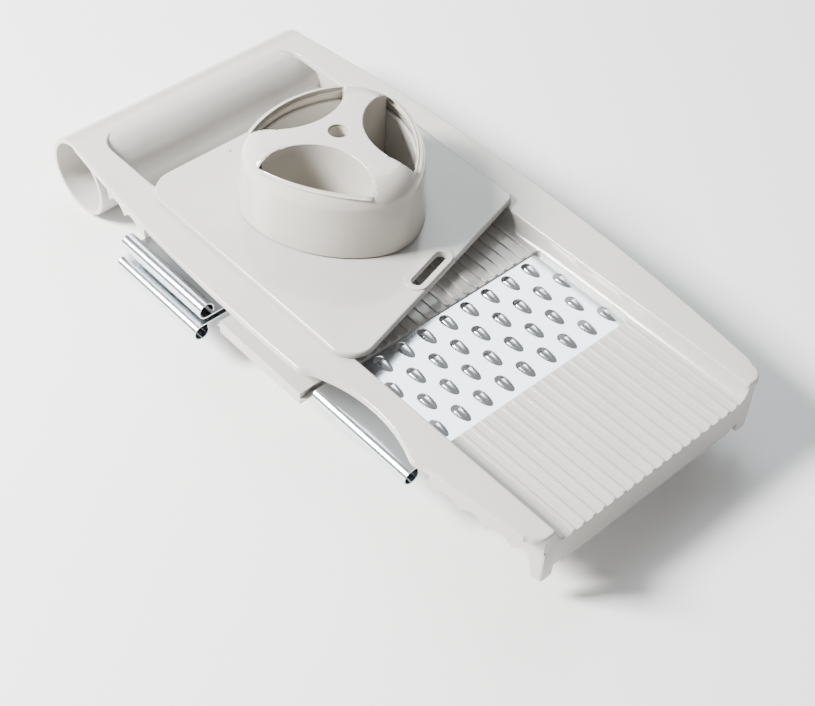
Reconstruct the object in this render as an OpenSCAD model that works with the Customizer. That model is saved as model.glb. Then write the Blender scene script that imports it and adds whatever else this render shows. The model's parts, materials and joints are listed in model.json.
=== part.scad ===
// Kitchen mandoline slicer: a frame with a handle and a store for spare inserts,
// a coarse grater in its window, a slicing insert, two more graters, and a hand guard
// whose cap pushes the food down. Millimetres, +Z up, +Y towards the handle.
// The origin is on the centre line, on the surface that the slicer stands on,
// under the middle insert guide.

/* [Frame] */
// Overall length, from the lower end to the far side of the handle
frame_length = 340; // [325:1:410]
// Width of the frame across its lower end
end_width = 143; // [119:0.5:175]
// How far each side swells out at mid length
side_bulge = 12; // [8:0.5:16]
// How much shorter the arc of each swollen side is than the frame
bulge_short = 10; // [0:1:30]
// Thickness of the flat flange along each side
flange_t = 3; // [2:0.1:4]
// Radius of the outer corners at the lower end
corner_r = 7; // [3:0.5:10]
// Wall thickness of the skirts, the channel walls and the apron
wall_t = 2.5; // [1.8:0.1:3]
// Distance from the frame's outline in to the skirts
skirt_inset = 6; // [4:0.5:6]
// Depth of the skirts below the top of the flanges
skirt_depth = 21.5; // [18:0.5:24]
// Depth of the end apron below the top of the flanges
apron_depth = 26.5; // [24:0.5:28]
// Depth of the two feet at the lower corners below the top of the flanges
foot_depth = 30.5; // [28.5:0.5:33]
// Width of each foot
foot_width = 6.5; // [4:0.5:8]

/* [Food channel] */
// Width of each flange at the lower end, from its outer edge to the channel
flange_width = 11.5; // [11.5:0.1:14]
// Depth of the channel below the top of the flanges
channel_depth = 9.8; // [8.5:0.1:12]
// Thickness of the decks
deck_t = 3; // [2.6:0.1:4]
// Length of the gap for the fingers between the channel's end and the handle
finger_gap = 33; // [27:0.5:36]
// Width of the strip between the channel and the finger gap
bridge_width = 9; // [6:0.5:12]
// Spacing of the ribs on the decks
rib_pitch = 6.1; // [5:0.1:8]
// Width of each rib
rib_w = 2.4; // [1.5:0.1:3]
// Height of each rib
rib_h = 0.7; // [0.4:0.1:1]

/* [Handle] */
// Outside diameter of the handle tube, which is also the height of the frame
tube_d = 42; // [38:0.5:51]
// Wall of the handle tube
tube_wall = 2.7; // [2:0.1:4]

/* [Bowl rests] */
// Spacing of the scallops that the bowl's rim sits in
scallop_pitch = 14; // [10:0.5:15]
// Radius of each scallop
scallop_r = 7.7; // [7.5:0.1:9]
// Height of each scallop
scallop_h = 4.5; // [3:0.1:5]
// Distance from the lower end to the first point between scallops
low_cusp = 2; // [1:0.5:4]
// Distance from the handle back to the last point between scallops
high_cusp_gap = 3; // [2:0.5:6]
// Length of plain skirt beyond the last scallop
skirt_run = 2.5; // [2:0.5:4]

/* [Finger notch] */
// Distance from the middle of the window to the middle of the notch
notch_shift = 0.5; // [-4:0.5:4]
// Radius of the notch
notch_r = 75; // [60:1:90]
// Width of the flange left at the bottom of the notch
notch_flange = 12.8; // [10:0.1:16]

/* [Inserts] */
// Size of every insert along the frame
insert_depth = 60.4; // [50:0.1:73]
// How far the coarse grater reaches out past the channel's left side
insert_out = 21.7; // [18:0.1:24]
// Thickness of the steel sheet
sheet_t = 0.6; // [0.5:0.05:0.9]
// Radius of the rolled edge that the fingers pull
roll_r = 4.3; // [3:0.1:4.6]
// Free space above and below a sheet in its groove
groove_clear = 0.2; // [0.15:0.05:0.3]
// Free space at each edge of a sheet in its groove
edge_clear = 0.3; // [0.2:0.05:0.5]
// How far a sheet goes into a groove
edge_in = 0.7; // [0.5:0.1:1.2]
// Length of the steps under the sheet in the window
ledge = 3; // [2:0.1:4]

/* [Coarse grater] */
// Spacing of the teeth across the frame
coarse_pitch_x = 13.25; // [12:0.05:14]
// Spacing of the rows of teeth
coarse_pitch_y = 14.3; // [12.5:0.1:14.5]
// Radius of the mouth of each tooth
coarse_r = 2.85; // [2.2:0.05:3.2]
// Length of the raised half cone behind each mouth
coarse_length = 8.5; // [6:0.1:9]
// Width of plain sheet beside the teeth, at the channel's walls
tooth_margin = 4; // [3:0.5:8]
// Size of the small end of a half cone, as a part of its mouth
cone_taper = 0.3; // [0.1:0.05:0.6]
// Width of the flat rim beside each half cone
mouth_rim = 0.25; // [0.15:0.05:0.5]
// How far the rows sit from the middle of the sheet towards the handle
coarse_shift = 3.7; // [0:0.1:4]
// Free height over the teeth as they pass under the left channel wall
tooth_clear = 0.6; // [0.3:0.1:1]

/* [Stored graters] */
// Radius of the holes of the medium grater
medium_r = 1.8; // [1.2:0.1:2]
// Spacing of the holes of the medium grater
medium_pitch = 11; // [9:0.5:14]
// Radius of the holes of the fine grater
fine_r = 1.1; // [0.8:0.1:1.3]
// Spacing of the holes of the fine grater
fine_pitch = 8.5; // [7:0.5:12]
// Plain sheet at the near and far edges of a stored grater
hole_margin = 5; // [4:0.5:8]
// How far the holes sit from the middle of a stored grater, away from its rolled edge
hole_shift = 6; // [4:0.5:8]
// Distance of the upper stored sheet below the top of the flanges
store_drop = 14.3; // [14:0.1:15]
// Height between the two stored sheets
store_step = 3.7; // [3:0.1:4]
// Distance from the frame's end width out to the edge of the stored slicing insert
cassette_out = 14; // [10:0.5:16]
// Distance from the frame's end width out to the rolled edge of the medium grater
medium_out = 19; // [16:0.5:20]
// Distance from the frame's end width out to the rolled edge of the fine grater
fine_out = 22.5; // [20:0.5:24]

/* [Slicing insert] */
// Thickness of the slicing insert's body
cassette_t = 3.7; // [3:0.1:4.5]
// Thickness of its grip, outside the frame
grip_t = 7; // [5:0.1:7.5]
// Length of its grip
grip_length = 20; // [14:0.5:21]
// Thickness of the blade
blade_t = 1; // [0.6:0.05:1.2]
// Width of the blade, from its cutting edge to its back
blade_depth = 17; // [14:0.5:20]
// Gap in front of the blade that the slices fall through
slice_gap = 7; // [5:0.5:9]
// Width of the blade's ground edge
blade_bevel = 2.5; // [1:0.1:4]
// Distance from the ends of the blade to the edges of its insert's sliding part
blade_margin = 6; // [4:0.5:10]
// Length of the blade's seat at each end of the gap
blade_seat = 12; // [10:0.5:18]
// Radius of the two rivets of the blade
rivet_r = 1.6; // [1.2:0.1:2]
// Distance from each end of the blade to its rivet
rivet_inset = 8; // [4:0.5:9]

/* [Insert guides] */
// Thickness of the front and rear guides
guide_t = 6.1; // [5:0.1:8]
// Thickness of the middle guide
middle_guide_t = 9.1; // [8:0.1:12]
// How far an insert's edge goes into a guide
guide_in = 1.2; // [0.8:0.1:1.6]
// Distance from the channel's walls in to the ends of the guides
guide_inset = 3; // [2:0.5:6]
// How far the infeed deck reaches over the rear guide
rear_guide_lap = 1.8; // [1.5:0.1:4]
// Depth of the guides' end wall below the lower stored sheet
end_wall_drop = 3; // [2:0.5:6]

/* [Hand guard] */
// How far the guard plate laps over each flange
guard_lap = 6; // [4:0.5:8]
// Thickness of the guard plate
guard_t = 3; // [2.5:0.1:4]
// How far the guard plate reaches past the channel's end
guard_over = 14.5; // [12:0.5:20]
// Length of the guard plate along its left edge
guard_length = 153.9; // [130:0.1:165]
// How much further back the right end of the front edge is
guard_slant = 34.9; // [20:0.1:40]
// Radius of the rear corners of the plate
guard_rear_r = 15; // [8:0.5:20]
// Radius of the front left corner of the plate
guard_left_r = 12; // [6:0.5:16]
// Radius of the front right corner of the plate
guard_right_r = 5; // [3:0.5:8]
// Gap between the guard and the frame that it slides on
slide_clear = 0.2; // [0.15:0.05:0.4]
// Gap between the guard's runners and the channel walls
runner_clear = 0.5; // [0.3:0.1:1]
// Thickness of the runners
runner_t = 2; // [1.5:0.1:3]
// Depth of the runners below the top of the flanges
runner_depth = 6; // [4:0.1:6.5]
// Distance from the front edge of the plate, at its right, to the runners
runner_front_gap = 4; // [2:0.5:10]
// Distance from the runners to the channel's end
runner_rear_gap = 5; // [3:0.5:10]
// Length of the hanging slot
slot_length = 25.7; // [18:0.1:30]
// Width of the hanging slot
slot_width = 5.6; // [5:0.1:7]
// Distance from the front edge to the middle of the hanging slot
slot_inset = 6.2; // [5.5:0.1:9]
// Width of the raised border of the hanging slot
slot_border_w = 3; // [2:0.1:3.2]
// Height of the raised border of the hanging slot
slot_border_h = 0.6; // [0.3:0.1:1]

/* [Pusher] */
// Distance from the rear edge of the guard plate to the middle of the pusher
pusher_back = 65.7; // [58:0.1:72]
// Distance from the middle to each of the cap's three sides
cap_side = 42; // [33:0.5:48]
// Radius of each side in plan
cap_side_r = 60; // [54:0.5:66]
// Radius of each corner in plan
cap_corner_r = 27.5; // [24:0.5:30]
// Wall of the cap
cap_wall = 2.2; // [1.6:0.1:2.8]
// Height of the middle of the cap above the flanges
cap_height = 43.5; // [38:0.5:50]
// How much lower the cap's shoulder is than its middle
cap_crown = 11; // [8:0.5:13]
// How far the cap's flat crown is drawn in from its sides
crown_inset = 25; // [20:0.5:28]
// How far the middle of the dome is drawn in from its sides
dome_inset = 3; // [2:0.5:6]
// Draft of the cap's sides between their foot and the shoulder
cap_draft = 1.5; // [0.5:0.1:2.5]
// Gap between the pusher and the chimney
chimney_clear = 0.5; // [0.3:0.1:0.8]
// Wall of the chimney
chimney_wall = 2; // [1.5:0.1:2.5]
// Height of the chimney above the flanges
chimney_height = 30; // [24:0.5:31]
// Distance from the middle to the hollow face of each side of the core
core_waist = 11.9; // [10:0.1:14]
// Radius of the hollow faces of the core
core_hollow_r = 30.2; // [26:0.1:34]
// Width of the cap left between each finger opening and the cap's side
lens_rim = 6; // [5.5:0.1:9]
// Radius of the outer edge of each finger opening
lens_out_r = 69; // [60:0.5:80]
// Diameter of the hole in the middle of the cap
cap_hole_d = 9.5; // [8:0.1:11]
// Thickness of the pusher disc
disc_t = 3; // [2.5:0.1:4]
// Distance from the top of the flanges up to the bottom of the disc
disc_lift = 1; // [0.8:0.1:1.5]
// Diameter of the food pins
pin_d = 1.8; // [1.2:0.1:2.4]
// How far the pins reach below the top of the flanges
pin_reach = 6.3; // [4:0.1:6.5]
// Length of the point of each pin
pin_point = 2; // [1:0.1:3]
// Distance from the outer ring of pins to the disc's sides
pin_margin = 8.3; // [6:0.1:12]

/* [Hidden] */

$fn = 48;
outline_fn = 720;
dome_fn = 32;
// How far pieces of one solid sink into each other, and how far a cut runs past a surface
eps = 0.01;
cut = 1;
shell_color = [0.87, 0.865, 0.86];
dome_color = [0.89, 0.88, 0.86];
steel_color = [0.75, 0.78, 0.8];

// Levels above the surface that the slicer stands on
rail_top = tube_d;
flange_bottom = rail_top - flange_t;
deck_top = rail_top - channel_depth;
deck_bottom = deck_top - deck_t;
skirt_bottom = rail_top - skirt_depth;
lip_t = 0.6;
groove_h = sheet_t + 2 * groove_clear;
window_groove_z = deck_top - lip_t - groove_h;
window_sheet_z = window_groove_z + groove_clear;
tooth_gap_top = window_sheet_z + sheet_t + coarse_r + tooth_clear;
store_high_z = rail_top - store_drop - sheet_t;
store_low_z = store_high_z - store_step;

// Places along the frame, measured from its lower end, from the handle down to the window
tube_y = frame_length - tube_d / 2;
tube_front = frame_length - tube_d;
channel_end = tube_front - finger_gap - bridge_width;
rear_guide_y = channel_end - rear_guide_lap;
rear_bay_y = rear_guide_y + guide_in - insert_depth;
middle_guide_y = rear_bay_y + guide_in - middle_guide_t;
front_bay_y = middle_guide_y + guide_in - insert_depth;
front_guide_y = front_bay_y + guide_in - guide_t;
window_end = front_guide_y + ledge;
window_start = window_end + 2 * edge_in - insert_depth;
window_middle = (window_start + window_end) / 2;
rest_y = middle_guide_y + middle_guide_t / 2;
bulge_length = frame_length - bulge_short;
bulge_y = bulge_length / 2;

// Places across the frame
end_half = end_width / 2;
channel_width = end_width - 2 * flange_width;
channel_half = channel_width / 2;
guide_width = channel_width - 2 * guide_inset;
bulge_r = (pow(bulge_length / 2, 2) + side_bulge * side_bulge) / (2 * side_bulge);
side_centre = end_half + side_bulge - bulge_r;
function half_width(y) = side_centre + sqrt(bulge_r * bulge_r - pow(y - bulge_y, 2));
window_sheet_right = channel_half + edge_in;
insert_width = window_sheet_right + channel_half + insert_out;
apron_half = end_half - skirt_inset;

// Skirts and their scallops, as many as there is room for
skirt_gap = 1;
scallops_low = floor((window_start - edge_in - skirt_gap - skirt_run - low_cusp) / scallop_pitch);
front_skirt_end = low_cusp + scallops_low * scallop_pitch + skirt_run;
rear_skirt_start = rear_guide_y + guide_t + skirt_gap;
scallops_high = floor((tube_front - high_cusp_gap - rear_skirt_start) / scallop_pitch);
high_cusp = tube_front - high_cusp_gap - scallops_high * scallop_pitch;

// Notches of the apron, beside its feet
apron_notch_w = 4.5;
apron_notch_h = 2.3;

// The ribs stop this far from the channel's walls
rib_margin = 3;

// Teeth of the coarse grater: the longer rows are odd, and the first is nearest the lower end
coarse_long_row = 2 * floor((channel_half - tooth_margin) / coarse_pitch_x) + 1;
coarse_room = window_end - window_start - coarse_length - coarse_r - groove_h;
coarse_rows = floor(coarse_room / coarse_pitch_y) + 1;
coarse_first_y = window_middle + coarse_shift - (coarse_rows - 1) / 2 * coarse_pitch_y;

// Slicing insert
cassette_left = -end_half - cassette_out;
cassette_right = cassette_left + insert_width;
cassette_top = store_high_z + sheet_t;
cassette_bottom = cassette_top - cassette_t;
tongue_clear = 0.6;
tongue = guide_in + tongue_clear;
blade_left = -guide_width / 2 + blade_margin;
blade_length = cassette_right - blade_margin - blade_left;
blade_y = front_bay_y + insert_depth / 2 - blade_depth / 2;
rivet_y = blade_y + blade_depth / 4;
rivets = [for (x = [rivet_inset, blade_length - rivet_inset]) [blade_left + x, rivet_y]];

// Hand guard
guard_width = channel_width + 2 * guard_lap;
guard_half = guard_width / 2;
guard_rear = channel_end + guard_over;
guard_front_left = guard_rear - guard_length;
guard_bottom = rail_top + slide_clear;
guard_top = guard_bottom + guard_t;
slant_angle = atan(guard_slant / guard_width);
function guard_front(x) = guard_front_left + guard_slant * (x + guard_half) / guard_width;

// Pusher
pusher_y = guard_rear - pusher_back;
cap_bottom = guard_top + chimney_clear;
cap_shoulder = rail_top + cap_height - cap_crown;
cap_top = rail_top + cap_height;
chimney_out = cap_wall + chimney_clear + cap_draft;
chimney_in = chimney_out + chimney_wall;
core_out = chimney_in + chimney_clear;
lens_out = cap_side - lens_rim;
disc_bottom = rail_top + disc_lift;
side_angles = [90, 210, 330];

// Rings of food pins: how many pins each ring has, from the middle outwards
pin_counts = [1, 6, 9];
pin_ring_step = (cap_side - core_out - pin_margin) / (len(pin_counts) - 1);
pin_tip_d = 0.4;
pin_seat = 1;

// Puts a piece in place: its own Y is measured from the lower end
module place() translate([0, -rest_y, 0]) children();

// A cylinder that lies across the frame
module cross_rod(r, y, z, half) translate([-half, y, z]) rotate([0, 90, 0])
    cylinder(r = r, h = 2 * half);

// ---------------------------------------------------------------- frame

// Plan of the frame's outline, with its two swollen sides, grown or shrunk by a distance
module outline(grow = 0) intersection() {
    translate([side_centre, bulge_y]) circle(r = bulge_r + grow, $fn = outline_fn);
    translate([-side_centre, bulge_y]) circle(r = bulge_r + grow, $fn = outline_fn);
}

// Rounds the outer corner of a flange at the lower end, on the right side
module corner_cut() translate([half_width(0) - corner_r, 0]) difference() {
    translate([0, -cut]) square([2 * corner_r, corner_r + cut]);
    translate([0, corner_r]) circle(r = corner_r);
}

module flange_plan() difference() {
    intersection() {
        outline();
        translate([channel_half, 0]) square([end_width, tube_y - tube_wall]);
    }
    corner_cut();
}

module flange_solid() difference() {
    translate([0, 0, flange_bottom]) linear_extrude(flange_t) flange_plan();
    cross_rod(tube_d / 2, tube_y, rail_top - tube_d / 2, end_width);
}

module right_flange() color(shell_color) place() flange_solid();

module left_flange() color(shell_color) place() difference() {
    mirror([1, 0, 0]) flange_solid();
    translate([-channel_half - notch_flange - notch_r, window_middle + notch_shift, flange_bottom - cut])
        cylinder(r = notch_r, h = flange_t + 2 * cut, $fn = 180);
}

// Scallops cut up into the lower edge of a skirt, from a first cusp onwards
module scallops(first_cusp, count) for (i = [0 : count - 1])
    translate([0, first_cusp + (i + 0.5) * scallop_pitch, skirt_bottom + scallop_h - scallop_r])
        rotate([0, 90, 0]) cylinder(r = scallop_r, h = end_width);

// A skirt on the right side between two places along the frame
module skirt(from_y, to_y) intersection() {
    translate([0, 0, skirt_bottom]) linear_extrude(flange_bottom - skirt_bottom) difference() {
        outline(-skirt_inset);
        outline(-skirt_inset - wall_t);
    }
    translate([channel_half, from_y, 0]) cube([end_width, to_y - from_y, rail_top]);
}

// The round space that the handle tube fills, and the skirts under it
module handle_space() {
    cross_rod(tube_d / 2, tube_y, tube_d / 2, end_width);
    translate([0, tube_front, 0]) cube([end_width, tube_d, tube_d / 2]);
}

module left_front_skirt() color(shell_color) place() mirror([1, 0, 0]) difference() {
    skirt(wall_t, front_skirt_end);
    scallops(low_cusp, scallops_low + 1);
}

module left_rear_skirt() color(shell_color) place() mirror([1, 0, 0]) difference() {
    skirt(rear_skirt_start, tube_y);
    scallops(high_cusp, scallops_high);
    handle_space();
}

module right_skirt() color(shell_color) place() difference() {
    skirt(wall_t, tube_y);
    handle_space();
    scallops(low_cusp, scallops_low);
    scallops(high_cusp, scallops_high);
}

module channel_wall() translate([channel_half, 0, deck_top])
    cube([wall_t, channel_end, flange_bottom - deck_top]);

module right_channel_wall() color(shell_color) place() channel_wall();

// The left wall stands clear of the teeth, so that the grater can be drawn out under it
module left_channel_wall() color(shell_color) place() difference() {
    mirror([1, 0, 0]) channel_wall();
    translate([-end_half, window_start - cut, deck_top - cut])
        cube([end_half, window_end - window_start + 2 * cut, tooth_gap_top - deck_top + cut]);
}

module ribs(from_y, to_y) {
    count = floor((channel_half - rib_margin) / rib_pitch);
    for (i = [-count : count])
        translate([i * rib_pitch - rib_w / 2, from_y, deck_top - eps])
            cube([rib_w, to_y - from_y, rib_h + eps]);
}

// A deck with ribs, grooved along its window edge for the insert's sheet
module deck(from_y, to_y) {
    translate([-channel_half - wall_t, from_y, deck_bottom])
        cube([channel_width + 2 * wall_t, to_y - from_y, deck_t]);
    ribs(from_y, to_y);
}

module window_ledge(from_y) translate([-channel_half - wall_t, from_y, deck_bottom])
    cube([channel_width + 2 * wall_t, ledge + eps, window_groove_z - deck_bottom]);

module window_groove(from_y) translate([-channel_half - wall_t - cut, from_y, window_groove_z])
    cube([channel_width + 2 * (wall_t + cut), edge_in + edge_clear + eps, groove_h]);

module outfeed_deck() color(shell_color) place() difference() {
    union() {
        deck(0, window_start);
        window_ledge(window_start - eps);
    }
    window_groove(window_start - edge_in - edge_clear);
}

module infeed_deck() color(shell_color) place() difference() {
    union() {
        deck(window_end, channel_end);
        window_ledge(window_end - ledge);
    }
    window_groove(window_end - eps);
}

module grip_bridge() color(shell_color) place() {
    translate([-channel_half, channel_end, flange_bottom]) cube([channel_width, bridge_width, flange_t]);
    translate([-channel_half - wall_t, channel_end, deck_bottom])
        cube([channel_width + 2 * wall_t, wall_t, flange_bottom - deck_bottom]);
}

module end_apron() color(shell_color) place() difference() {
    union() {
        translate([-apron_half, 0, rail_top - apron_depth])
            cube([2 * apron_half, wall_t, deck_bottom - rail_top + apron_depth]);
        for (side = [-1, 1]) {
            translate([side * (apron_half - foot_width / 2) - foot_width / 2, 0, rail_top - foot_depth])
                cube([foot_width, wall_t, foot_depth - apron_depth + cut]);
            translate([side * (apron_half - wall_t / 2) - wall_t / 2, 0, deck_bottom - cut])
                cube([wall_t, wall_t, flange_bottom - deck_bottom + cut]);
        }
    }
    for (side = [-1, 1]) translate([side * (apron_half - foot_width - apron_notch_w), 0, 0])
        translate([-apron_notch_w / 2, -cut, rail_top - apron_depth - cut])
            cube([apron_notch_w, wall_t + 2 * cut, apron_notch_h + cut]);
}

module handle_tube() color(shell_color) place() difference() {
    cross_rod(tube_d / 2, tube_y, tube_d / 2, half_width(tube_y), $fn = 96);
    cross_rod(tube_d / 2 - tube_wall, tube_y, tube_d / 2, end_width, $fn = 96);
}

// ---------------------------------------------------------------- insert guides

// A bar across the underside of the infeed deck, which the inserts' edges slide in
module guide(from_y, thick) translate([-guide_width / 2, from_y, 0])
    cube([guide_width, thick, deck_bottom]);

module guide_groove(from_y, sheet_z) translate([-guide_width / 2 - cut, from_y, sheet_z - groove_clear])
    cube([guide_width + 2 * cut, guide_in + edge_clear, groove_h]);

module front_guide() color(shell_color) place() difference() {
    guide(front_guide_y, guide_t);
    guide_groove(front_bay_y - edge_clear, store_high_z);
}

module middle_guide() color(shell_color) place() difference() {
    guide(middle_guide_y, middle_guide_t);
    guide_groove(middle_guide_y, store_high_z);
    for (sheet_z = [store_low_z, store_high_z]) guide_groove(rear_bay_y - edge_clear, sheet_z);
}

module rear_guide() color(shell_color) place() difference() {
    guide(rear_guide_y, guide_t);
    for (sheet_z = [store_low_z, store_high_z]) guide_groove(rear_guide_y, sheet_z);
}

module guide_end_wall() color(shell_color) place()
    translate([guide_width / 2, front_guide_y, store_low_z - end_wall_drop])
        cube([wall_t, rear_guide_y + guide_t - front_guide_y, deck_bottom - store_low_z + end_wall_drop]);

// ---------------------------------------------------------------- steel inserts

// A sheet whose left edge is rolled into a tube below it. Its top is at Z = 0,
// its left edge at X = 0 and its near edge at Y = 0.
module rolled_sheet() {
    translate([roll_r, 0, -sheet_t]) cube([insert_width - roll_r, insert_depth, sheet_t]);
    translate([roll_r, insert_depth, -roll_r]) rotate([90, 0, 0]) difference() {
        cylinder(r = roll_r, h = insert_depth);
        translate([0, 0, -cut]) cylinder(r = roll_r - sheet_t, h = insert_depth + 2 * cut);
    }
}

// Calls its children at every tooth: the long rows have one more tooth than the short ones
module tooth_grid(rows, long_row, pitch_x, pitch_y) for (row = [0 : rows - 1]) {
    count = long_row - row % 2;
    for (i = [0 : count - 1])
        translate([(i - (count - 1) / 2) * pitch_x, row * pitch_y, 0]) children();
}

// A half cone that lies along -Y from its mouth, its flat side inside the sheet
module half_cone(r, length) intersection() {
    translate([0, mouth_rim, -mouth_rim / 4]) rotate([90, 0, 0])
        cylinder(r1 = r, r2 = r * cone_taper, h = length);
    translate([-r - cut, -length - cut, -sheet_t / 2])
        cube([2 * (r + cut), length + 2 * cut, r + sheet_t]);
}

module at_teeth() translate([0, coarse_first_y, window_sheet_z + sheet_t])
    tooth_grid(coarse_rows, coarse_long_row, coarse_pitch_x, coarse_pitch_y) children();

module coarse_grater() color(steel_color) place() difference() {
    union() {
        translate([window_sheet_right - insert_width, window_start - edge_in, window_sheet_z + sheet_t])
            rolled_sheet();
        at_teeth() half_cone(coarse_r - mouth_rim, coarse_length);
    }
    at_teeth() translate([0, 0, -2 * sheet_t]) cylinder(r = coarse_r, h = coarse_r + 3 * sheet_t);
}

// A stored grater, seen from its rolled side: a sheet with a grid of round holes
module holed_sheet(hole_r, pitch) {
    columns = floor((guide_width - 2 * hole_shift) / pitch);
    rows = floor((insert_depth - 2 * hole_margin) / pitch);
    difference() {
        rolled_sheet();
        for (column = [0 : columns - 1], row = [0 : rows - 1])
            translate([
                insert_width / 2 + hole_shift + (column - (columns - 1) / 2) * pitch,
                insert_depth / 2 + (row - (rows - 1) / 2) * pitch,
                -2 * sheet_t
            ]) cylinder(r = hole_r, h = 3 * sheet_t, $fn = 16);
    }
}

// The medium grater lies upside down, so that its rolled edge stands above its sheet
module medium_grater() color(steel_color) place()
    translate([-end_half - medium_out, rear_bay_y, store_high_z]) mirror([0, 0, 1])
        holed_sheet(medium_r, medium_pitch);

module fine_grater() color(steel_color) place()
    translate([-end_half - fine_out, rear_bay_y, store_low_z + sheet_t]) holed_sheet(fine_r, fine_pitch);

// ---------------------------------------------------------------- slicing insert

module cassette_body() color(shell_color) place() difference() {
    union() {
        translate([cassette_left, front_bay_y, store_high_z])
            cube([insert_width, insert_depth, sheet_t]);
        translate([cassette_left, front_bay_y + tongue, cassette_bottom])
            cube([insert_width, insert_depth - 2 * tongue, cassette_t]);
        translate([cassette_left, front_bay_y + tongue, cassette_top - eps])
            cube([grip_length, insert_depth - 2 * tongue, grip_t - cassette_t + eps]);
    }
    // the seat of the blade, and the gap that the slices fall through
    translate([blade_left, blade_y, cassette_top - blade_t])
        cube([blade_length, blade_depth, blade_t + cut]);
    translate([blade_left + blade_seat, blade_y + blade_depth / 2, cassette_bottom - cut])
        cube([blade_length - 2 * blade_seat, blade_depth / 2 + slice_gap, cassette_t + 2 * cut]);
    for (p = rivets) translate([p[0], p[1], cassette_bottom - cut])
        cylinder(r = rivet_r, h = cassette_t + 2 * cut);
}

module cassette_blade() color(steel_color) place() difference() {
    translate([blade_left, blade_y, cassette_top - blade_t]) rotate([90, 0, 90]) linear_extrude(blade_length)
        polygon([[0, 0], [blade_depth, 0], [blade_depth - blade_bevel, blade_t], [0, blade_t]]);
    for (p = rivets) translate([p[0], p[1], cassette_bottom])
        cylinder(r = rivet_r, h = cassette_t + cut);
}

module blade_rivets() color(steel_color) place() for (p = rivets)
    translate([p[0], p[1], cassette_bottom]) cylinder(r = rivet_r, h = cassette_t);

// ---------------------------------------------------------------- hand guard

// A front corner of the guard plate, a circle that the slanted edge runs into
module front_corner(x, r) translate([x, guard_front(x) + r / cos(slant_angle)]) circle(r = r);

module guard_plan() hull() {
    for (side = [-1, 1])
        translate([side * (guard_half - guard_rear_r), guard_rear - guard_rear_r]) circle(r = guard_rear_r);
    front_corner(-guard_half + guard_left_r, guard_left_r);
    front_corner(guard_half - guard_right_r, guard_right_r);
}

module slot_plan(grow = 0) {
    half = slot_length / 2 - slot_width / 2;
    translate([-half, -slot_width / 2 - grow]) square([2 * half, slot_width + 2 * grow]);
    for (side = [-1, 1]) translate([side * half, 0]) circle(r = slot_width / 2 + grow);
}

module at_slot() translate([0, guard_front(0) + slot_inset / cos(slant_angle), 0])
    rotate([0, 0, slant_angle]) children();

// Plan of the cap's rounded triangle, one side towards the handle, drawn in by a distance
module cap_plan(inset = 0, fn = 96) translate([0, pusher_y]) offset(r = cap_corner_r - inset, $fn = fn)
    intersection() {
        rotate(side_angles[0]) cap_side_plan(fn);
        rotate(side_angles[1]) cap_side_plan(fn);
        rotate(side_angles[2]) cap_side_plan(fn);
    }

module cap_side_plan(fn) translate([cap_side - cap_side_r, 0])
    circle(r = cap_side_r - cap_corner_r, $fn = fn);

module three_sides() translate([0, pusher_y, 0])
    for (angle = side_angles) rotate([0, 0, angle]) children();

module guard_plate() color(shell_color) place() difference() {
    union() {
        translate([0, 0, guard_bottom]) linear_extrude(guard_t) guard_plan();
        translate([0, 0, guard_top - eps]) at_slot()
            linear_extrude(slot_border_h + eps) slot_plan(slot_border_w);
    }
    translate([0, 0, guard_bottom - cut]) {
        at_slot() linear_extrude(guard_t + slot_border_h + 2 * cut) slot_plan();
        linear_extrude(guard_t + 2 * cut) cap_plan(chimney_in);
    }
}

module guard_chimney() color(shell_color) place() translate([0, 0, guard_top])
    linear_extrude(rail_top + chimney_height - guard_top) difference() {
        cap_plan(chimney_out);
        cap_plan(chimney_in);
    }

module guard_runners() color(shell_color) place() {
    start = guard_front(guard_half) + runner_front_gap;
    end = channel_end - runner_rear_gap;
    for (side = [-1, 1]) translate([
        side * (channel_half - runner_clear - runner_t / 2) - runner_t / 2, start, rail_top - runner_depth
    ]) cube([runner_t, end - start, guard_bottom - rail_top + runner_depth]);
}

// ---------------------------------------------------------------- pusher

// The cap's form from its foot to its crown, drawn in by a distance
module cap_form(inset, foot, crown) hull() {
    translate([0, 0, foot]) linear_extrude(eps) cap_plan(inset, dome_fn);
    translate([0, 0, cap_shoulder - inset]) linear_extrude(eps) cap_plan(inset + cap_draft, dome_fn);
    translate([0, 0, crown - cap_crown / 2])
        linear_extrude(eps) cap_plan(inset + cap_draft + dome_inset, dome_fn);
    translate([0, 0, crown - eps]) linear_extrude(eps) cap_plan(crown_inset, dome_fn);
}

module pusher_cap() color(dome_color) place() difference() {
    cap_form(0, cap_bottom, cap_top);
    cap_form(cap_wall, cap_bottom - cut, cap_top - cap_wall);
    three_sides() translate([0, 0, chimney_height]) linear_extrude(cap_top) intersection() {
        translate([core_waist + core_hollow_r, 0]) circle(r = core_hollow_r);
        translate([lens_out - lens_out_r, 0]) circle(r = lens_out_r, $fn = 96);
    }
    translate([0, pusher_y, 0]) cylinder(d = cap_hole_d, h = 2 * cap_top);
}

// Plan of the three-lobed core, drawn in by a distance
module core_plan(inset = 0) difference() {
    cap_plan(core_out + inset);
    for (angle = side_angles) translate([0, pusher_y]) rotate(angle)
        translate([core_waist + core_hollow_r, 0]) circle(r = core_hollow_r + inset);
}

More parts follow.
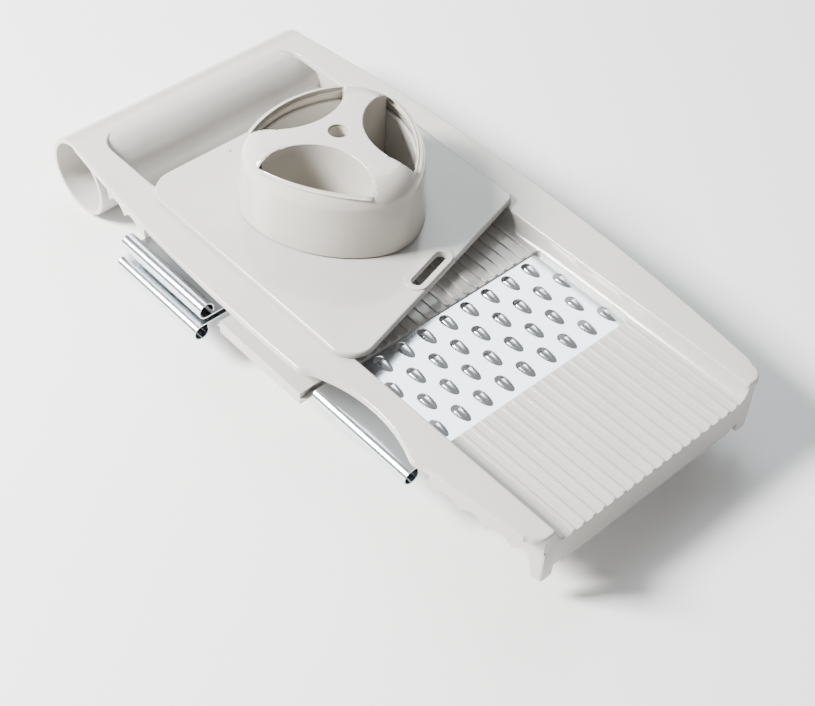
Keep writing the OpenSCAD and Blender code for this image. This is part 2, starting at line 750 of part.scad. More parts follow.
// The hollow walls inside the cap, up to its underside, and the tube under its middle hole
module pusher_core() color(dome_color) place() intersection() {
    cap_form(cap_wall, disc_bottom, cap_top - cap_wall);
    translate([0, 0, disc_bottom + disc_t]) linear_extrude(cap_height) union() {
        difference() {
            core_plan();
            core_plan(cap_wall);
        }
        for (angle = side_angles) translate([0, pusher_y]) rotate(angle)
            translate([cap_hole_d / 2 + cut, -cap_wall / 2])
                square([core_waist - cap_hole_d / 2 - 2 * cut, cap_wall]);
        translate([0, pusher_y]) difference() {
            circle(d = cap_hole_d + 2 * cap_wall);
            circle(d = cap_hole_d);
        }
    }
}

module at_pins() translate([0, pusher_y, 0])
    for (ring = [0 : len(pin_counts) - 1]) for (i = [0 : pin_counts[ring] - 1])
        rotate([0, 0, 30 + i * 360 / pin_counts[ring]]) translate([ring * pin_ring_step, 0, 0]) children();

module pusher_disc() color(dome_color) place() difference() {
    translate([0, 0, disc_bottom]) linear_extrude(disc_t) cap_plan(core_out);
    translate([0, 0, disc_bottom - pin_seat]) at_pins() cylinder(d = pin_d, h = disc_t, $fn = 16);
}

module food_pins() color(steel_color) place() at_pins() {
    tip_z = rail_top - pin_reach;
    translate([0, 0, tip_z]) cylinder(d1 = pin_tip_d, d2 = pin_d, h = pin_point, $fn = 16);
    translate([0, 0, tip_z + pin_point])
        cylinder(d = pin_d, h = disc_bottom + disc_t - pin_seat - tip_z - pin_point, $fn = 16);
}

left_flange();
right_flange();
left_front_skirt();
left_rear_skirt();
right_skirt();
left_channel_wall();
right_channel_wall();
outfeed_deck();
infeed_deck();
grip_bridge();
end_apron();
handle_tube();
front_guide();
middle_guide();
rear_guide();
guide_end_wall();
coarse_grater();
medium_grater();
fine_grater();
cassette_body();
cassette_blade();
blade_rivets();
guard_plate();
guard_chimney();
guard_runners();
pusher_cap();
pusher_core();
pusher_disc();
food_pins();
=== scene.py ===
"""A kitchen mandoline slicer: its moulded frame with four inserts, the hand guard and the
three-sided pusher, in metres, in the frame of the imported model."""
import json
import math
from contextlib import contextmanager

import bmesh
import bpy
import numpy as np
from mathutils import Matrix, Vector
from mathutils.geometry import delaunay_2d_cdt


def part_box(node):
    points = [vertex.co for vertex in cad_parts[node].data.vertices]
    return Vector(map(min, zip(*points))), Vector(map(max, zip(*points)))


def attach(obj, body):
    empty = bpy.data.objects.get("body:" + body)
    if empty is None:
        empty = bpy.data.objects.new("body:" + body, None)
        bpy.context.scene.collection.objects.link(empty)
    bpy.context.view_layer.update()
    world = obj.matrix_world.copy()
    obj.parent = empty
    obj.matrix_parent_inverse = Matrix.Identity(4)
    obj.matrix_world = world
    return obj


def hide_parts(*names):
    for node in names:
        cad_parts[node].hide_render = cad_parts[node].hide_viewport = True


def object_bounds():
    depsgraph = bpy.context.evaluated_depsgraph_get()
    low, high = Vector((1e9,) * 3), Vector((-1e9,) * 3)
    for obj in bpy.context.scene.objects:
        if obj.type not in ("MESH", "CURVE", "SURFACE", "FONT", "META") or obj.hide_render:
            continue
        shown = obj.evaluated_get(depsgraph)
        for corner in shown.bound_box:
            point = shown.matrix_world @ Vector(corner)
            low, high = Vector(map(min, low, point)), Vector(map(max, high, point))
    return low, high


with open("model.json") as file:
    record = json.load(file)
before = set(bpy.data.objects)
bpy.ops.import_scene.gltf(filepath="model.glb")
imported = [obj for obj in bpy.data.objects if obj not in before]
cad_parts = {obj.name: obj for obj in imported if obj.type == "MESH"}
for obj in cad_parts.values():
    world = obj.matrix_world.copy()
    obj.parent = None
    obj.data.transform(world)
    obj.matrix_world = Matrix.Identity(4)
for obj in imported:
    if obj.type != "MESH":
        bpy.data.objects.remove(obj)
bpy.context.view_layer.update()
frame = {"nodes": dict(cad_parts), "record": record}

MM = 0.001
BODIES = frame["record"]["behaviour"]["bodies"]

# ---- sizes

LOW_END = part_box("outfeed_deck")[0].y
RAIL_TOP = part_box("left_flange")[1].z
FLANGE_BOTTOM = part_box("left_flange")[0].z
DECK_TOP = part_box("right_channel_wall")[0].z
DECK_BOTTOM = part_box("outfeed_deck")[0].z
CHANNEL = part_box("right_channel_wall")[0].x
CHANNEL_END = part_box("right_channel_wall")[1].y
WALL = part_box("right_channel_wall")[1].x - CHANNEL
BRIDGE_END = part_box("grip_bridge")[1].y
WINDOW_LAP = 0.7 * MM
WINDOW = (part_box("coarse_grater")[0].y + WINDOW_LAP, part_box("coarse_grater")[1].y - WINDOW_LAP)
SKIRT_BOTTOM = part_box("right_skirt")[0].z
FOOT_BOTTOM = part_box("end_apron")[0].z
TUBE_LOW, TUBE_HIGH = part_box("handle_tube")
TUBE_R = (TUBE_HIGH.z - TUBE_LOW.z) / 2
TUBE_Y = (TUBE_LOW.y + TUBE_HIGH.y) / 2
TUBE_WALL = 2.7 * MM
GRIP_CORNER_R = 12 * MM

END_HALF = 71.5 * MM
SIDE_BULGE = 12 * MM
BULGE_LENGTH = TUBE_HIGH.y - LOW_END - 10 * MM
BULGE_R = ((BULGE_LENGTH / 2) ** 2 + SIDE_BULGE**2) / (2 * SIDE_BULGE)
BULGE_Y = LOW_END + BULGE_LENGTH / 2
SIDE_CENTRE = END_HALF + SIDE_BULGE - BULGE_R
SKIRT_INSET = 6 * MM
CORNER_R = 7 * MM
COVE_R = 7 * MM
RIB_PITCH = 6.1 * MM
RIB_WIDTH = 2.4 * MM
RIB_HEIGHT = 0.7 * MM
RIBS = 19
FOOT_LENGTH = 5 * MM
FOOT_HEIGHT = 4 * MM
NOTCH_DEPTH = 12.8 * MM
NOTCH_R = 75 * MM
WINDOW_SHORT = 2.4 * MM
SCALLOP_PITCH = 14 * MM
SCALLOP_R = 7.7 * MM
SCALLOP_H = 4.5 * MM

SHEET_T = 0.6 * MM
ROLL_R = 4.3 * MM
ROLL_END = 388

PLATE_LOW, PLATE_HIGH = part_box("guard_plate")
GUARD_HALF = PLATE_HIGH.x
GUARD_REAR = PLATE_HIGH.y
GUARD_BOTTOM = PLATE_LOW.z
GUARD_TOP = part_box("guard_chimney")[0].z
GUARD_FRONT_LEFT = GUARD_REAR - 153.9 * MM
GUARD_SLANT = 34.9 * MM
SLANT = math.atan(GUARD_SLANT / (2 * GUARD_HALF))
SLOT_LENGTH = 25.7 * MM
SLOT_WIDTH = 5.6 * MM
SLOT_SETBACK = 6.2 * MM
STUD_X = -19 * MM
STUD_SETBACK = 6 * MM
CHIMNEY_OUT = 4.2 * MM
CHIMNEY_IN = 6.2 * MM

CAP_LOW, CAP_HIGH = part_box("pusher_cap")
CAP_SIDE = 42 * MM
CAP_SIDE_R = 60 * MM
CAP_CORNER_R = 27.5 * MM
CAP_WALL = 2.2 * MM
CAP_DRAFT = 1.5 * MM
CAP_Y = CAP_HIGH.y - CAP_SIDE
CORE_WAIST = 11.9 * MM
CORE_HOLLOW_R = 30.2 * MM
LENS_OUT = CAP_SIDE - 6 * MM
LENS_OUT_R = 69 * MM
CAP_HOLE_R = 4.75 * MM
CORE_IN = 6.7 * MM
PIN_R = 0.9 * MM
PIN_MARGIN = 8.3 * MM
SIDES = [math.radians(a) for a in (90, 210, 330)]

FLOOR_HALF = 12.0
AIM = Vector((0, 0, 0.03))
CAMERA_PLACE = (-0.3735, -0.41605, 0.548)
CAMERA_HEADING = -44.85
CAMERA_DOWN = 47.0
CAMERA_ROLL = 3.55


def half_width(y):
    """Half the width of the frame at a place along it."""
    return SIDE_CENTRE + math.sqrt(BULGE_R**2 - (y - BULGE_Y) ** 2)


# ---- plane shapes


def arc(cx, cy, r, start, end, count):
    """Points on an arc, its angles in degrees, both ends included."""
    turns = [math.radians(start + (end - start) * i / count) for i in range(count + 1)]
    return [(cx + r * math.cos(t), cy + r * math.sin(t)) for t in turns]


def circle(r, count):
    """Points round a circle, the first one not repeated."""
    return arc(0, 0, r, 0, 360, count)[:-1]


def rectangle(x0, y0, x1, y1):
    return [(x0, y0), (x1, y0), (x1, y1), (x0, y1)]


def polar(r, angle, cx=0, cy=0):
    """The point at a distance from a centre, in a direction in radians."""
    return cx + r * math.cos(angle), cy + r * math.sin(angle)


def bearing(start, end):
    """The direction from one point to another, in degrees."""
    return math.degrees(math.atan2(end[1] - start[1], end[0] - start[0]))


def turned_plan(points, angle, y):
    """Points turned about the origin, then moved along Y."""
    c, s = math.cos(angle), math.sin(angle)
    return [(px * c - py * s, y + px * s + py * c) for px, py in points]


def mirrored(points):
    """The same points on the other side of X = 0, in reverse."""
    return [(-x, z) for x, z in reversed(points)]


def clean(points, gap=1e-6):
    """Drops points that repeat their neighbour."""
    return [p for i, p in enumerate(points) if math.dist(p, points[i - 1]) > gap]


def signed_area(points):
    p = np.array(points)
    q = np.roll(p, -1, axis=0)
    return float((p[:, 0] * q[:, 1] - q[:, 0] * p[:, 1]).sum() / 2)


def counter_clockwise(points):
    return points if signed_area(points) > 0 else points[::-1]


def inset(points, distance):
    """A closed counter-clockwise outline drawn in by a distance, point by point."""
    p = np.array(points)
    along = np.roll(p, -1, axis=0) - p
    along /= np.linalg.norm(along, axis=1)[:, None]
    normal = np.stack([-along[:, 1], along[:, 0]], 1)
    before = np.roll(normal, 1, axis=0)
    mean = normal + before
    mean /= (1 + (normal * before).sum(1))[:, None].clip(0.35)
    return [tuple(q) for q in p + mean * distance]


def rounded_corners(corners, radii, steps=6):
    """An outline through corners, each rounded by its radius."""
    points = []
    count = len(corners)
    for i, (corner, radius) in enumerate(zip(corners, radii)):
        if radius <= 0:
            points.append(tuple(corner))
            continue
        c = Vector(corner)
        a = (Vector(corners[i - 1]) - c).normalized()
        b = (Vector(corners[(i + 1) % count]) - c).normalized()
        half = math.acos(max(-1, min(1, a.dot(b)))) / 2
        reach = radius / math.tan(half)
        centre = c + (a + b).normalized() * (radius / math.sin(half))
        start, end = c + a * reach - centre, c + b * reach - centre
        turn = start.angle_signed(end)
        for k in range(steps + 1):
            spoke = start.copy()
            spoke.rotate(Matrix.Rotation(-turn * k / steps, 2))
            points.append(tuple(centre + spoke))
    return points


def distance_to(points, outline):
    """Distance from each point to a closed outline, in the plane."""
    a = np.array(outline)
    b = np.roll(a, -1, axis=0)
    best = np.full(len(points), 1e9)
    p = np.array(points)
    for s, e in zip(a, b):
        d = e - s
        t = (((p - s) @ d) / (d @ d)).clip(0, 1)
        best = np.minimum(best, np.linalg.norm(p - s - t[:, None] * d, axis=1))
    return best


def inside(points, outline):
    """Which points lie inside a closed outline."""
    p = np.array(points)
    hit = np.zeros(len(p), bool)
    a = np.array(outline)
    b = np.roll(a, -1, axis=0)
    for (x0, y0), (x1, y1) in zip(a, b):
        crosses = (y0 > p[:, 1]) != (y1 > p[:, 1])
        if y0 != y1:
            hit ^= crosses & (p[:, 0] < (x1 - x0) * (p[:, 1] - y0) / (y1 - y0) + x0)
    return hit


# ---- mesh building


def new_object(name, data):
    made = bpy.data.objects.new(name, data)
    bpy.context.scene.collection.objects.link(made)
    return made


@contextmanager
def edited(mesh):
    """Opens a mesh for editing and writes it back."""
    form = bmesh.new()
    form.from_mesh(mesh)
    yield form
    form.to_mesh(mesh)
    form.free()


class Builder:
    """Collects points and faces, then makes one mesh object of them."""

    def __init__(self):
        self.points = []
        self.faces = []

    def add(self, points):
        first = len(self.points)
        self.points += [tuple(p) for p in points]
        return list(range(first, len(self.points)))

    def level(self, points, z=0):
        """Adds points of a plan at one height."""
        return self.add([(x, y, z) for x, y in points])

    def strip(self, *rings, closed=True):
        """Faces between each ring and the next, all of the same count."""
        for a, b in zip(rings, rings[1:]):
            for i in range(len(a) if closed else len(a) - 1):
                j = (i + 1) % len(a)
                self.faces.append((a[i], a[j], b[j], b[i]))

    def fill(self, loops, height, extra=(), up=True):
        """Fills the area between an outer ring and its holes, given as rings of point numbers."""
        numbers = [n for loop in loops for n in loop]
        plane = [Vector(self.points[n][:2]) for n in numbers]
        edges, start = [], 0
        for loop in loops:
            count = len(loop)
            edges += [(start + i, start + (i + 1) % count) for i in range(count)]
            start += count
        plane += [Vector(p[:2]) for p in extra]
        numbers += self.add([(p[0], p[1], height(p[0], p[1])) for p in extra])
        out, _, faces, origin, _, _ = delaunay_2d_cdt(plane, edges, [], 0, 1e-9)
        outer = [self.points[n][:2] for n in loops[0]]
        holes = [[self.points[n][:2] for n in loop] for loop in loops[1:]]
        middles = [sum((out[i] for i in f), Vector((0, 0))) / len(f) for f in faces]
        keep = inside(middles, outer)
        for hole in holes:
            keep &= ~inside(middles, hole)
        for face, wanted in zip(faces, keep):
            if wanted:
                if not all(origin[i] for i in face):
                    raise ValueError(f"an outline crosses itself near {out[face[0]]}")
                ring = [numbers[origin[i][0]] for i in face]
                flat = [self.points[n][:2] for n in ring]
                if (signed_area(flat) > 0) != up:
                    ring.reverse()
                self.faces.append(tuple(ring))

    def object(self, name, merge=1e-6):
        mesh = bpy.data.meshes.new(name)
        mesh.from_pydata(self.points, [], self.faces)
        with edited(mesh) as form:
            bmesh.ops.remove_doubles(form, verts=form.verts, dist=merge)
            bmesh.ops.recalc_face_normals(form, faces=form.faces)
        return new_object(name, mesh)


def edge_steps(radius, steps=4):
    """(inset, drop) pairs of a quarter-round edge, from the side up to the flat."""
    turns = [math.pi / 2 * k / steps for k in range(steps + 1)]
    return [(radius * (1 - math.cos(t)), radius * (1 - math.sin(t))) for t in turns]


def plate(name, outline, holes, low, high, low_r, high_r, steps=4):
    """A flat plate with rounded edges, with holes through it."""
    shape = Builder()
    levels = [(i, low + d) for i, d in reversed(edge_steps(low_r, steps))] if low_r else [(0, low)]
    levels += [(i, high - d) for i, d in edge_steps(high_r, steps)] if high_r else [(0, high)]
    ends = []
    for loop, sign in [(outline, 1)] + [(h, -1) for h in holes]:
        loop = counter_clockwise(clean(loop))
        rings = []
        for distance, z in levels:
            flat = inset(loop, sign * distance) if distance else loop
            rings.append(shape.level(flat, z))
        shape.strip(*rings)
        ends.append((rings[0], rings[-1]))
    shape.fill([e[0] for e in ends], None, up=False)
    shape.fill([e[1] for e in ends], None, up=True)
    return shape.object(name)


def prism(name, section, start, end):
    """A closed section in X and Z, drawn out along Y."""
    shape = Builder()
    section = counter_clockwise(clean(section))
    flat = [shape.level(section) for _ in range(2)]
    shape.fill([flat[0]], None, up=False)
    shape.fill([flat[1]], None, up=True)
    shape.strip(*flat)
    shape.points = [
        (x, end if n >= len(section) else start, z) for n, (x, z, _) in enumerate(shape.points)
    ]
    return shape.object(name, merge=1e-7)


def block(name, low, high):
    """A plain cutter box."""
    return prism(name, rectangle(low[0], low[2], high[0], high[2]), low[1], high[1])


def evaluated(piece):
    """Applies a piece's modifiers and makes the result its mesh."""
    bpy.context.view_layer.update()
    ready = piece.evaluated_get(bpy.context.evaluated_depsgraph_get())
    mesh = bpy.data.meshes.new_from_object(ready)
    mesh.name = piece.name
    piece.modifiers.clear()
    piece.data = mesh
    return piece


def remove(piece):
    bpy.data.objects.remove(piece)


def combine(piece, other, operation="UNION"):
    """Joins another closed form to a piece, or cuts it away."""
    step = piece.modifiers.new("combine", "BOOLEAN")
    step.operation = operation
    step.solver = "MANIFOLD"
    step.object = other
    evaluated(piece)
    remove(other)


def joined(name, pieces):
    """One object that holds several meshes, not merged."""
    form = bmesh.new()
    for piece in pieces:
        form.from_mesh(piece.data)
        remove(piece)
    mesh = bpy.data.meshes.new(name)
    form.to_mesh(mesh)
    form.free()
    return new_object(name, mesh)


def smooth(piece, angle=35):
    """Smooth shading that keeps real edges, with the large faces flat."""
    limit = math.radians(angle)
    with edited(piece.data) as form:
        for face in form.faces:
            face.smooth = True
        for edge in form.edges:
            edge.smooth = len(edge.link_faces) == 2 and edge.calc_face_angle(0) < limit
    step = piece.modifiers.new("weighted normals", "WEIGHTED_NORMAL")
    step.keep_sharp = True
    step.weight = 80
    return evaluated(piece)


def thicken(piece, thickness):
    """Gives a skin its thickness, on the inner side."""
    wall = piece.modifiers.new("wall", "SOLIDIFY")
    wall.thickness = thickness
    wall.offset = -1
    return evaluated(piece)


def solid_copy(node, name, width, segments=2):
    """A closed copy of a CAD node, with its edges broken by a small bevel."""
    piece = new_object(name, frame["nodes"][node].data.copy())
    with edited(piece.data) as form:
        bmesh.ops.remove_doubles(form, verts=form.verts, dist=1e-6)
        bmesh.ops.dissolve_limit(
            form, angle_limit=math.radians(1), verts=form.verts, edges=form.edges
        )
    piece.data.materials.clear()
    step = piece.modifiers.new("edges", "BEVEL")
    step.width = width
    step.segments = segments
    step.limit_method = "ANGLE"
    step.angle_limit = math.radians(40)
    return evaluated(piece)


# ---- node trees


def new_tree(kind, name, inputs, outputs):
    """A node group. Inputs are (name, kind, default), outputs (name, kind)."""
    tree = bpy.data.node_groups.new(name, kind + "NodeTree")
    for title, sort, default in inputs:
        socket = tree.interface.new_socket(title, in_out="INPUT", socket_type="NodeSocket" + sort)
        if default is not None:
            socket.default_value = default
    for title, sort in outputs:
        tree.interface.new_socket(title, in_out="OUTPUT", socket_type="NodeSocket" + sort)
    return tree, tree.nodes.new("NodeGroupInput"), tree.nodes.new("NodeGroupOutput")


def wire(tree, *wires):
    """Links sockets, each given as (node, output, node, input)."""
    for start, output, end, socket in wires:
        tree.links.new(start.outputs[output], end.inputs[socket])


def copies_tree(name, inputs, points):
    """A tree that puts copies of the piece on points, joins them and gives them a material."""
    sockets = [("Geometry", "Geometry", None)] + inputs + [("Material", "Material", None)]
    tree, group_in, out = new_tree("Geometry", name, sockets, [("Geometry", "Geometry")])
    places = points(tree, group_in)
    copies = tree.nodes.new("GeometryNodeInstanceOnPoints")
    realize = tree.nodes.new("GeometryNodeRealizeInstances")
    paint = tree.nodes.new("GeometryNodeSetMaterial")
    wire(
        tree, (places, 0, copies, "Points"), (group_in, "Geometry", copies, "Instance"),
        (copies, 0, realize, 0), (realize, 0, paint, "Geometry"),
        (group_in, "Material", paint, "Material"), (paint, 0, out, 0),
    )
    return tree


def row_points(tree, group_in):
    """A straight row: how many, where the first is, and the step."""
    line = tree.nodes.new("GeometryNodeMeshLine")
    line.mode = "OFFSET"
    wire(
        tree, (group_in, "Count", line, "Count"), (group_in, "First", line, "Start Location"),
        (group_in, "Pitch", line, "Offset"),
    )
    return line


def ring_points(tree, group_in):
    """A circle: how many, its radius, its middle and a turn."""
    ring = tree.nodes.new("GeometryNodeMeshCircle")
    move = tree.nodes.new("GeometryNodeTransform")
    wire(
        tree, (group_in, "Count", ring, "Vertices"), (group_in, "Radius", ring, "Radius"),
        (ring, 0, move, "Geometry"), (group_in, "Middle", move, "Translation"),
        (group_in, "Turn", move, "Rotation"),
    )
    return move


def repeat(piece, tree, material, **values):
    """Runs a tree on a piece and leaves a plain mesh. Values are the tree's named inputs."""
    step = piece.modifiers.new("repeat", "NODES")
    step.node_group = tree
    values["Material"] = material
    for item in tree.interface.items_tree:
        if item.in_out == "INPUT" and item.name in values:
            step[item.identifier] = values[item.name]
    return evaluated(piece)


ROW = copies_tree(
    "row of copies",
    [("Count", "Int", 2), ("First", "Vector", None), ("Pitch", "Vector", None)], row_points,
)
RING = copies_tree(
    "ring of copies",
    [("Count", "Int", 3), ("Radius", "Float", 0.01), ("Middle", "Vector", None),
     ("Turn", "Vector", None)], ring_points,
)

# ---- materials


def shader_node(nodes, kind, tree=None, **values):
    """A shader node, or a group's, with some of its inputs set by name."""
    made = nodes.new("ShaderNode" + kind)
    if tree:
        made.node_tree = tree
    for name, value in values.items():
        made.inputs[name.replace("_", " ")].default_value = value
    return made


def noise(nodes, scale, detail=2.0, roughness=0.5):
    return shader_node(nodes, "TexNoise", Scale=scale, Detail=detail, Roughness=roughness)


def ramp(nodes, low, high, to_low=0.0, to_high=1.0):
    return shader_node(
        nodes, "MapRange", From_Min=low, From_Max=high, To_Min=to_low, To_Max=to_high
    )


def multiply_add(nodes, factor=0.5):
    """Its first input times a factor, plus its third input."""
    made = nodes.new("ShaderNodeMath")
    made.operation = "MULTIPLY_ADD"
    made.inputs[1].default_value = factor
    return made


def color_mix(nodes):
    made = nodes.new("ShaderNodeMix")
    made.data_type = "RGBA"
    return made


def moulding_group():
    """Moulded plastic: a slow change of tint, a fine skin for the bump and a gloss that varies."""
    tree, group_in, out = new_tree(
        "Shader", "moulded skin",
        [("Color", "Color", (0.8, 0.8, 0.8, 1)), ("Tint", "Color", (0.7, 0.68, 0.65, 1)),
         ("Gloss", "Float", 0.2), ("Gloss Change", "Float", 0.08)],
        [("Color", "Color"), ("Roughness", "Float"), ("Height", "Float")],
    )
    nodes = tree.nodes
    place = nodes.new("ShaderNodeTexCoord")
    cloud, smear = noise(nodes, 38, 3), noise(nodes, 260, 4, 0.6)
    skin, wave = noise(nodes, 2600, 2, 0.6), noise(nodes, 90, 1)
    cloud_mask, smear_mask = ramp(nodes, 0.4, 0.75), ramp(nodes, 0.35, 0.75)
    tint, gloss, height = color_mix(nodes), multiply_add(nodes), multiply_add(nodes, 0.08)
    wire(
        tree, *[(place, "Object", texture, "Vector") for texture in (cloud, smear, skin, wave)],
        (cloud, "Fac", cloud_mask, "Value"), (cloud_mask, 0, tint, "Factor"),
        (group_in, "Color", tint, 6), (group_in, "Tint", tint, 7),
        (smear, "Fac", smear_mask, "Value"), (smear_mask, 0, gloss, 0),
        (group_in, "Gloss Change", gloss, 1), (group_in, "Gloss", gloss, 2),
        (skin, "Fac", height, 0), (wave, "Fac", height, 2),
        (tint, 2, out, "Color"), (gloss, 0, out, "Roughness"), (height, 0, out, "Height"),
    )
    return tree


def scratch_group():
    """Fine scratches from use, as a mask of thin broken lines."""
    tree, group_in, out = new_tree(
        "Shader", "fine scratches",
        [("Across", "Float", 700.0), ("Along", "Float", 12.0), ("Turn", "Float", 0.6)],
        [("Mask", "Float")],
    )
    nodes = tree.nodes
    place = nodes.new("ShaderNodeTexCoord")
    rotate = nodes.new("ShaderNodeVectorRotate")
    rotate.rotation_type = "Z_AXIS"
    stretch = nodes.new("ShaderNodeVectorMath")
    stretch.operation = "MULTIPLY"
    scales = nodes.new("ShaderNodeCombineXYZ")
    line, mask = noise(nodes, 1, 2, 0.7), ramp(nodes, 0.66, 0.74)
    wire(
        tree, (place, "Object", rotate, "Vector"), (group_in, "Turn", rotate, "Angle"),
        (group_in, "Along", scales, 0), (group_in, "Across", scales, 1),
        (group_in, "Across", scales, 2), (rotate, 0, stretch, 0), (scales, 0, stretch, 1),
        (stretch, 0, line, "Vector"), (line, "Fac", mask, "Value"), (mask, 0, out, "Mask"),
    )
    return tree


MOULDED = moulding_group()
SCRATCHES = scratch_group()


def new_material(name):
    material = bpy.data.materials.new(name)
    material.use_nodes = True
    nodes = material.node_tree.nodes
    return material, nodes, nodes["Principled BSDF"]


def plastic(name, color, tint, gloss, change, scratch_turn):
    """Glossy moulded plastic."""
    material, nodes, shader = new_material(name)
    skin = shader_node(
        nodes, "Group", MOULDED, Color=color, Tint=tint, Gloss=gloss, Gloss_Change=change
    )
    scratches = shader_node(nodes, "Group", SCRATCHES, Turn=scratch_turn)
    rough, deep = multiply_add(nodes, 0.12), multiply_add(nodes, -0.05)
    bump = shader_node(nodes, "Bump", Strength=0.25, Distance=0.1 * MM)
    wire(
        material.node_tree, (scratches, "Mask", rough, 0), (skin, "Roughness", rough, 2),
        (scratches, "Mask", deep, 0), (skin, "Height", deep, 2), (deep, 0, bump, "Height"),
        (skin, "Color", shader, "Base Color"), (rough, 0, shader, "Roughness"),
        (bump, 0, shader, "Normal"),
    )
    shader.inputs["IOR"].default_value = 1.5
    return material


def steel(name, color, rough_low, rough_high, turn):
    """Rolled stainless steel: a fine grain along the sheet, and scratches across it."""
    material, nodes, shader = new_material(name)
    place = nodes.new("ShaderNodeTexCoord")
    stretch = shader_node(nodes, "Mapping", Scale=(60, 2400, 900))
    grain = noise(nodes, 1, 3, 0.6)
    rough = ramp(nodes, 0.3, 0.7, rough_low, rough_high)
    scratches = shader_node(nodes, "Group", SCRATCHES, Across=1600.0, Along=30.0, Turn=turn)
    height, tone = multiply_add(nodes, -0.4), color_mix(nodes)
    tone.inputs[6].default_value = color
    tone.inputs[7].default_value = tuple(c * 0.86 for c in color[:3]) + (1,)
    bump = shader_node(nodes, "Bump", Strength=0.12, Distance=0.02 * MM)
    wire(
        material.node_tree, (place, "Object", stretch, "Vector"), (stretch, 0, grain, "Vector"),
        (grain, "Fac", rough, "Value"), (grain, "Fac", tone, "Factor"),
        (scratches, "Mask", height, 0), (grain, "Fac", height, 2), (height, 0, bump, "Height"),
        (tone, 2, shader, "Base Color"), (rough, 0, shader, "Roughness"),
        (bump, 0, shader, "Normal"),
    )
    shader.inputs["Metallic"].default_value = 1.0
    return material


FRAME_PLASTIC = plastic(
    "frame plastic", (0.52, 0.505, 0.483, 1), (0.49, 0.47, 0.44, 1), 0.12, 0.1, 0.5
)
GUARD_PLASTIC = plastic(
    "guard plastic", (0.5, 0.49, 0.472, 1), (0.47, 0.455, 0.43, 1), 0.08, 0.06, 1.1
)
CAP_PLASTIC = plastic(
    "cap plastic", (0.55, 0.522, 0.478, 1), (0.52, 0.488, 0.435, 1), 0.09, 0.06, 2.0
)
GRATER_STEEL = steel("grater steel", (0.78, 0.82, 0.86, 1), 0.12, 0.26, 0.9)
BLADE_STEEL = steel("blade steel", (0.72, 0.74, 0.77, 1), 0.1, 0.2, 0.3)


def hand_over(piece, body, nodes, material, angle=35):
    """Gives a finished piece its material, its body and the nodes it stands for."""
    if material is not None:
        piece.data.materials.clear()
        piece.data.materials.append(material)
    smooth(piece, angle)
    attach(piece, body)
    if nodes:
        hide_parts(*nodes)


# ---- frame


def side_points(x_sign, start, end, count):
    """Points up one swollen side of the frame."""
    places = [start + (end - start) * i / count for i in range(count + 1)]
    return [(x_sign * half_width(y), y) for y in places]


def notch_points():
    """The finger notch in the left flange, with its two shoulders rounded off."""
    middle = (WINDOW[0] + WINDOW[1]) / 2 + 0.5 * MM
    depth_x = CHANNEL + NOTCH_DEPTH
    reach = math.sqrt(NOTCH_R**2 - (NOTCH_R - (half_width(middle) - depth_x)) ** 2)
    span = math.degrees(math.asin(reach / NOTCH_R))
    return middle, reach, arc(-(depth_x + NOTCH_R), middle, NOTCH_R, -span, span, 90)


def blunted(points, at_y, reach):
    """A line of points whose corner at a place along Y is worn round."""
    p = np.array(points)
    near = np.abs(p[:, 1] - at_y) < reach
    near[[0, -1]] = False
    for _ in range(24):
        p[near] = (p + (np.roll(p, 1, axis=0) + np.roll(p, -1, axis=0)) / 2)[near] / 2
    return [tuple(q) for q in p]


def slab_outline():
    """The flanges and the strip behind the channel, in plan: a U with the channel left out."""
    lip = 1.6 * MM
    middle, reach, notch = notch_points()
    corner = half_width(LOW_END) - CORNER_R
    right = arc(corner, LOW_END + CORNER_R, CORNER_R, -90, 0, 10)
    right += side_points(1, LOW_END + CORNER_R, TUBE_Y, 120)[1:]
    near = middle + reach + 12 * MM
    left = side_points(-1, TUBE_Y, near, 40)[:-1] + side_points(-1, near, middle + reach, 26)
    left += notch[::-1]
    left += side_points(-1, middle - reach, LOW_END + CORNER_R, 80)
    for shoulder in (middle + reach, middle - reach):
        left = blunted(left, shoulder, 9 * MM)
    left += arc(-corner, LOW_END + CORNER_R, CORNER_R, 180, 270, 10)[1:]
    end_r = 3 * MM
    channel = arc(-CHANNEL - lip, LOW_END + lip, lip, -90, 0, 6)
    channel += arc(-CHANNEL + end_r, CHANNEL_END - end_r, end_r, 180, 90, 8)
    channel += arc(CHANNEL - end_r, CHANNEL_END - end_r, end_r, 90, 0, 8)
    channel += arc(CHANNEL + lip, LOW_END + lip, lip, 180, 270, 6)
    return right + left + channel


def grip_opening():
    """The gap for the fingers in front of the handle."""
    corners = rectangle(-CHANNEL, BRIDGE_END, CHANNEL, TUBE_Y - 3 * MM)
    return rounded_corners(corners, [7 * MM, 7 * MM, GRIP_CORNER_R, GRIP_CORNER_R], 10)


def trough_section():
    """The channel's walls, its coved corners and its floor, in X and Z."""
    top = FLANGE_BOTTOM + 0.6 * MM
    out = CHANNEL + WALL
    cove_x = CHANNEL - COVE_R
    cove_z = DECK_TOP + COVE_R
    inner = [(CHANNEL, top)] + arc(cove_x, cove_z, COVE_R, 0, -90, 12)
    inner += mirrored(inner)
    under = 3 * MM
    outer = [(-out, top), (-out, DECK_BOTTOM + under)]
    outer += arc(-out + under, DECK_BOTTOM + under, under, 180, 270, 5)
    outer += arc(out - under, DECK_BOTTOM + under, under, 270, 360, 5)
    outer += [(out, top)]
    return inner + outer


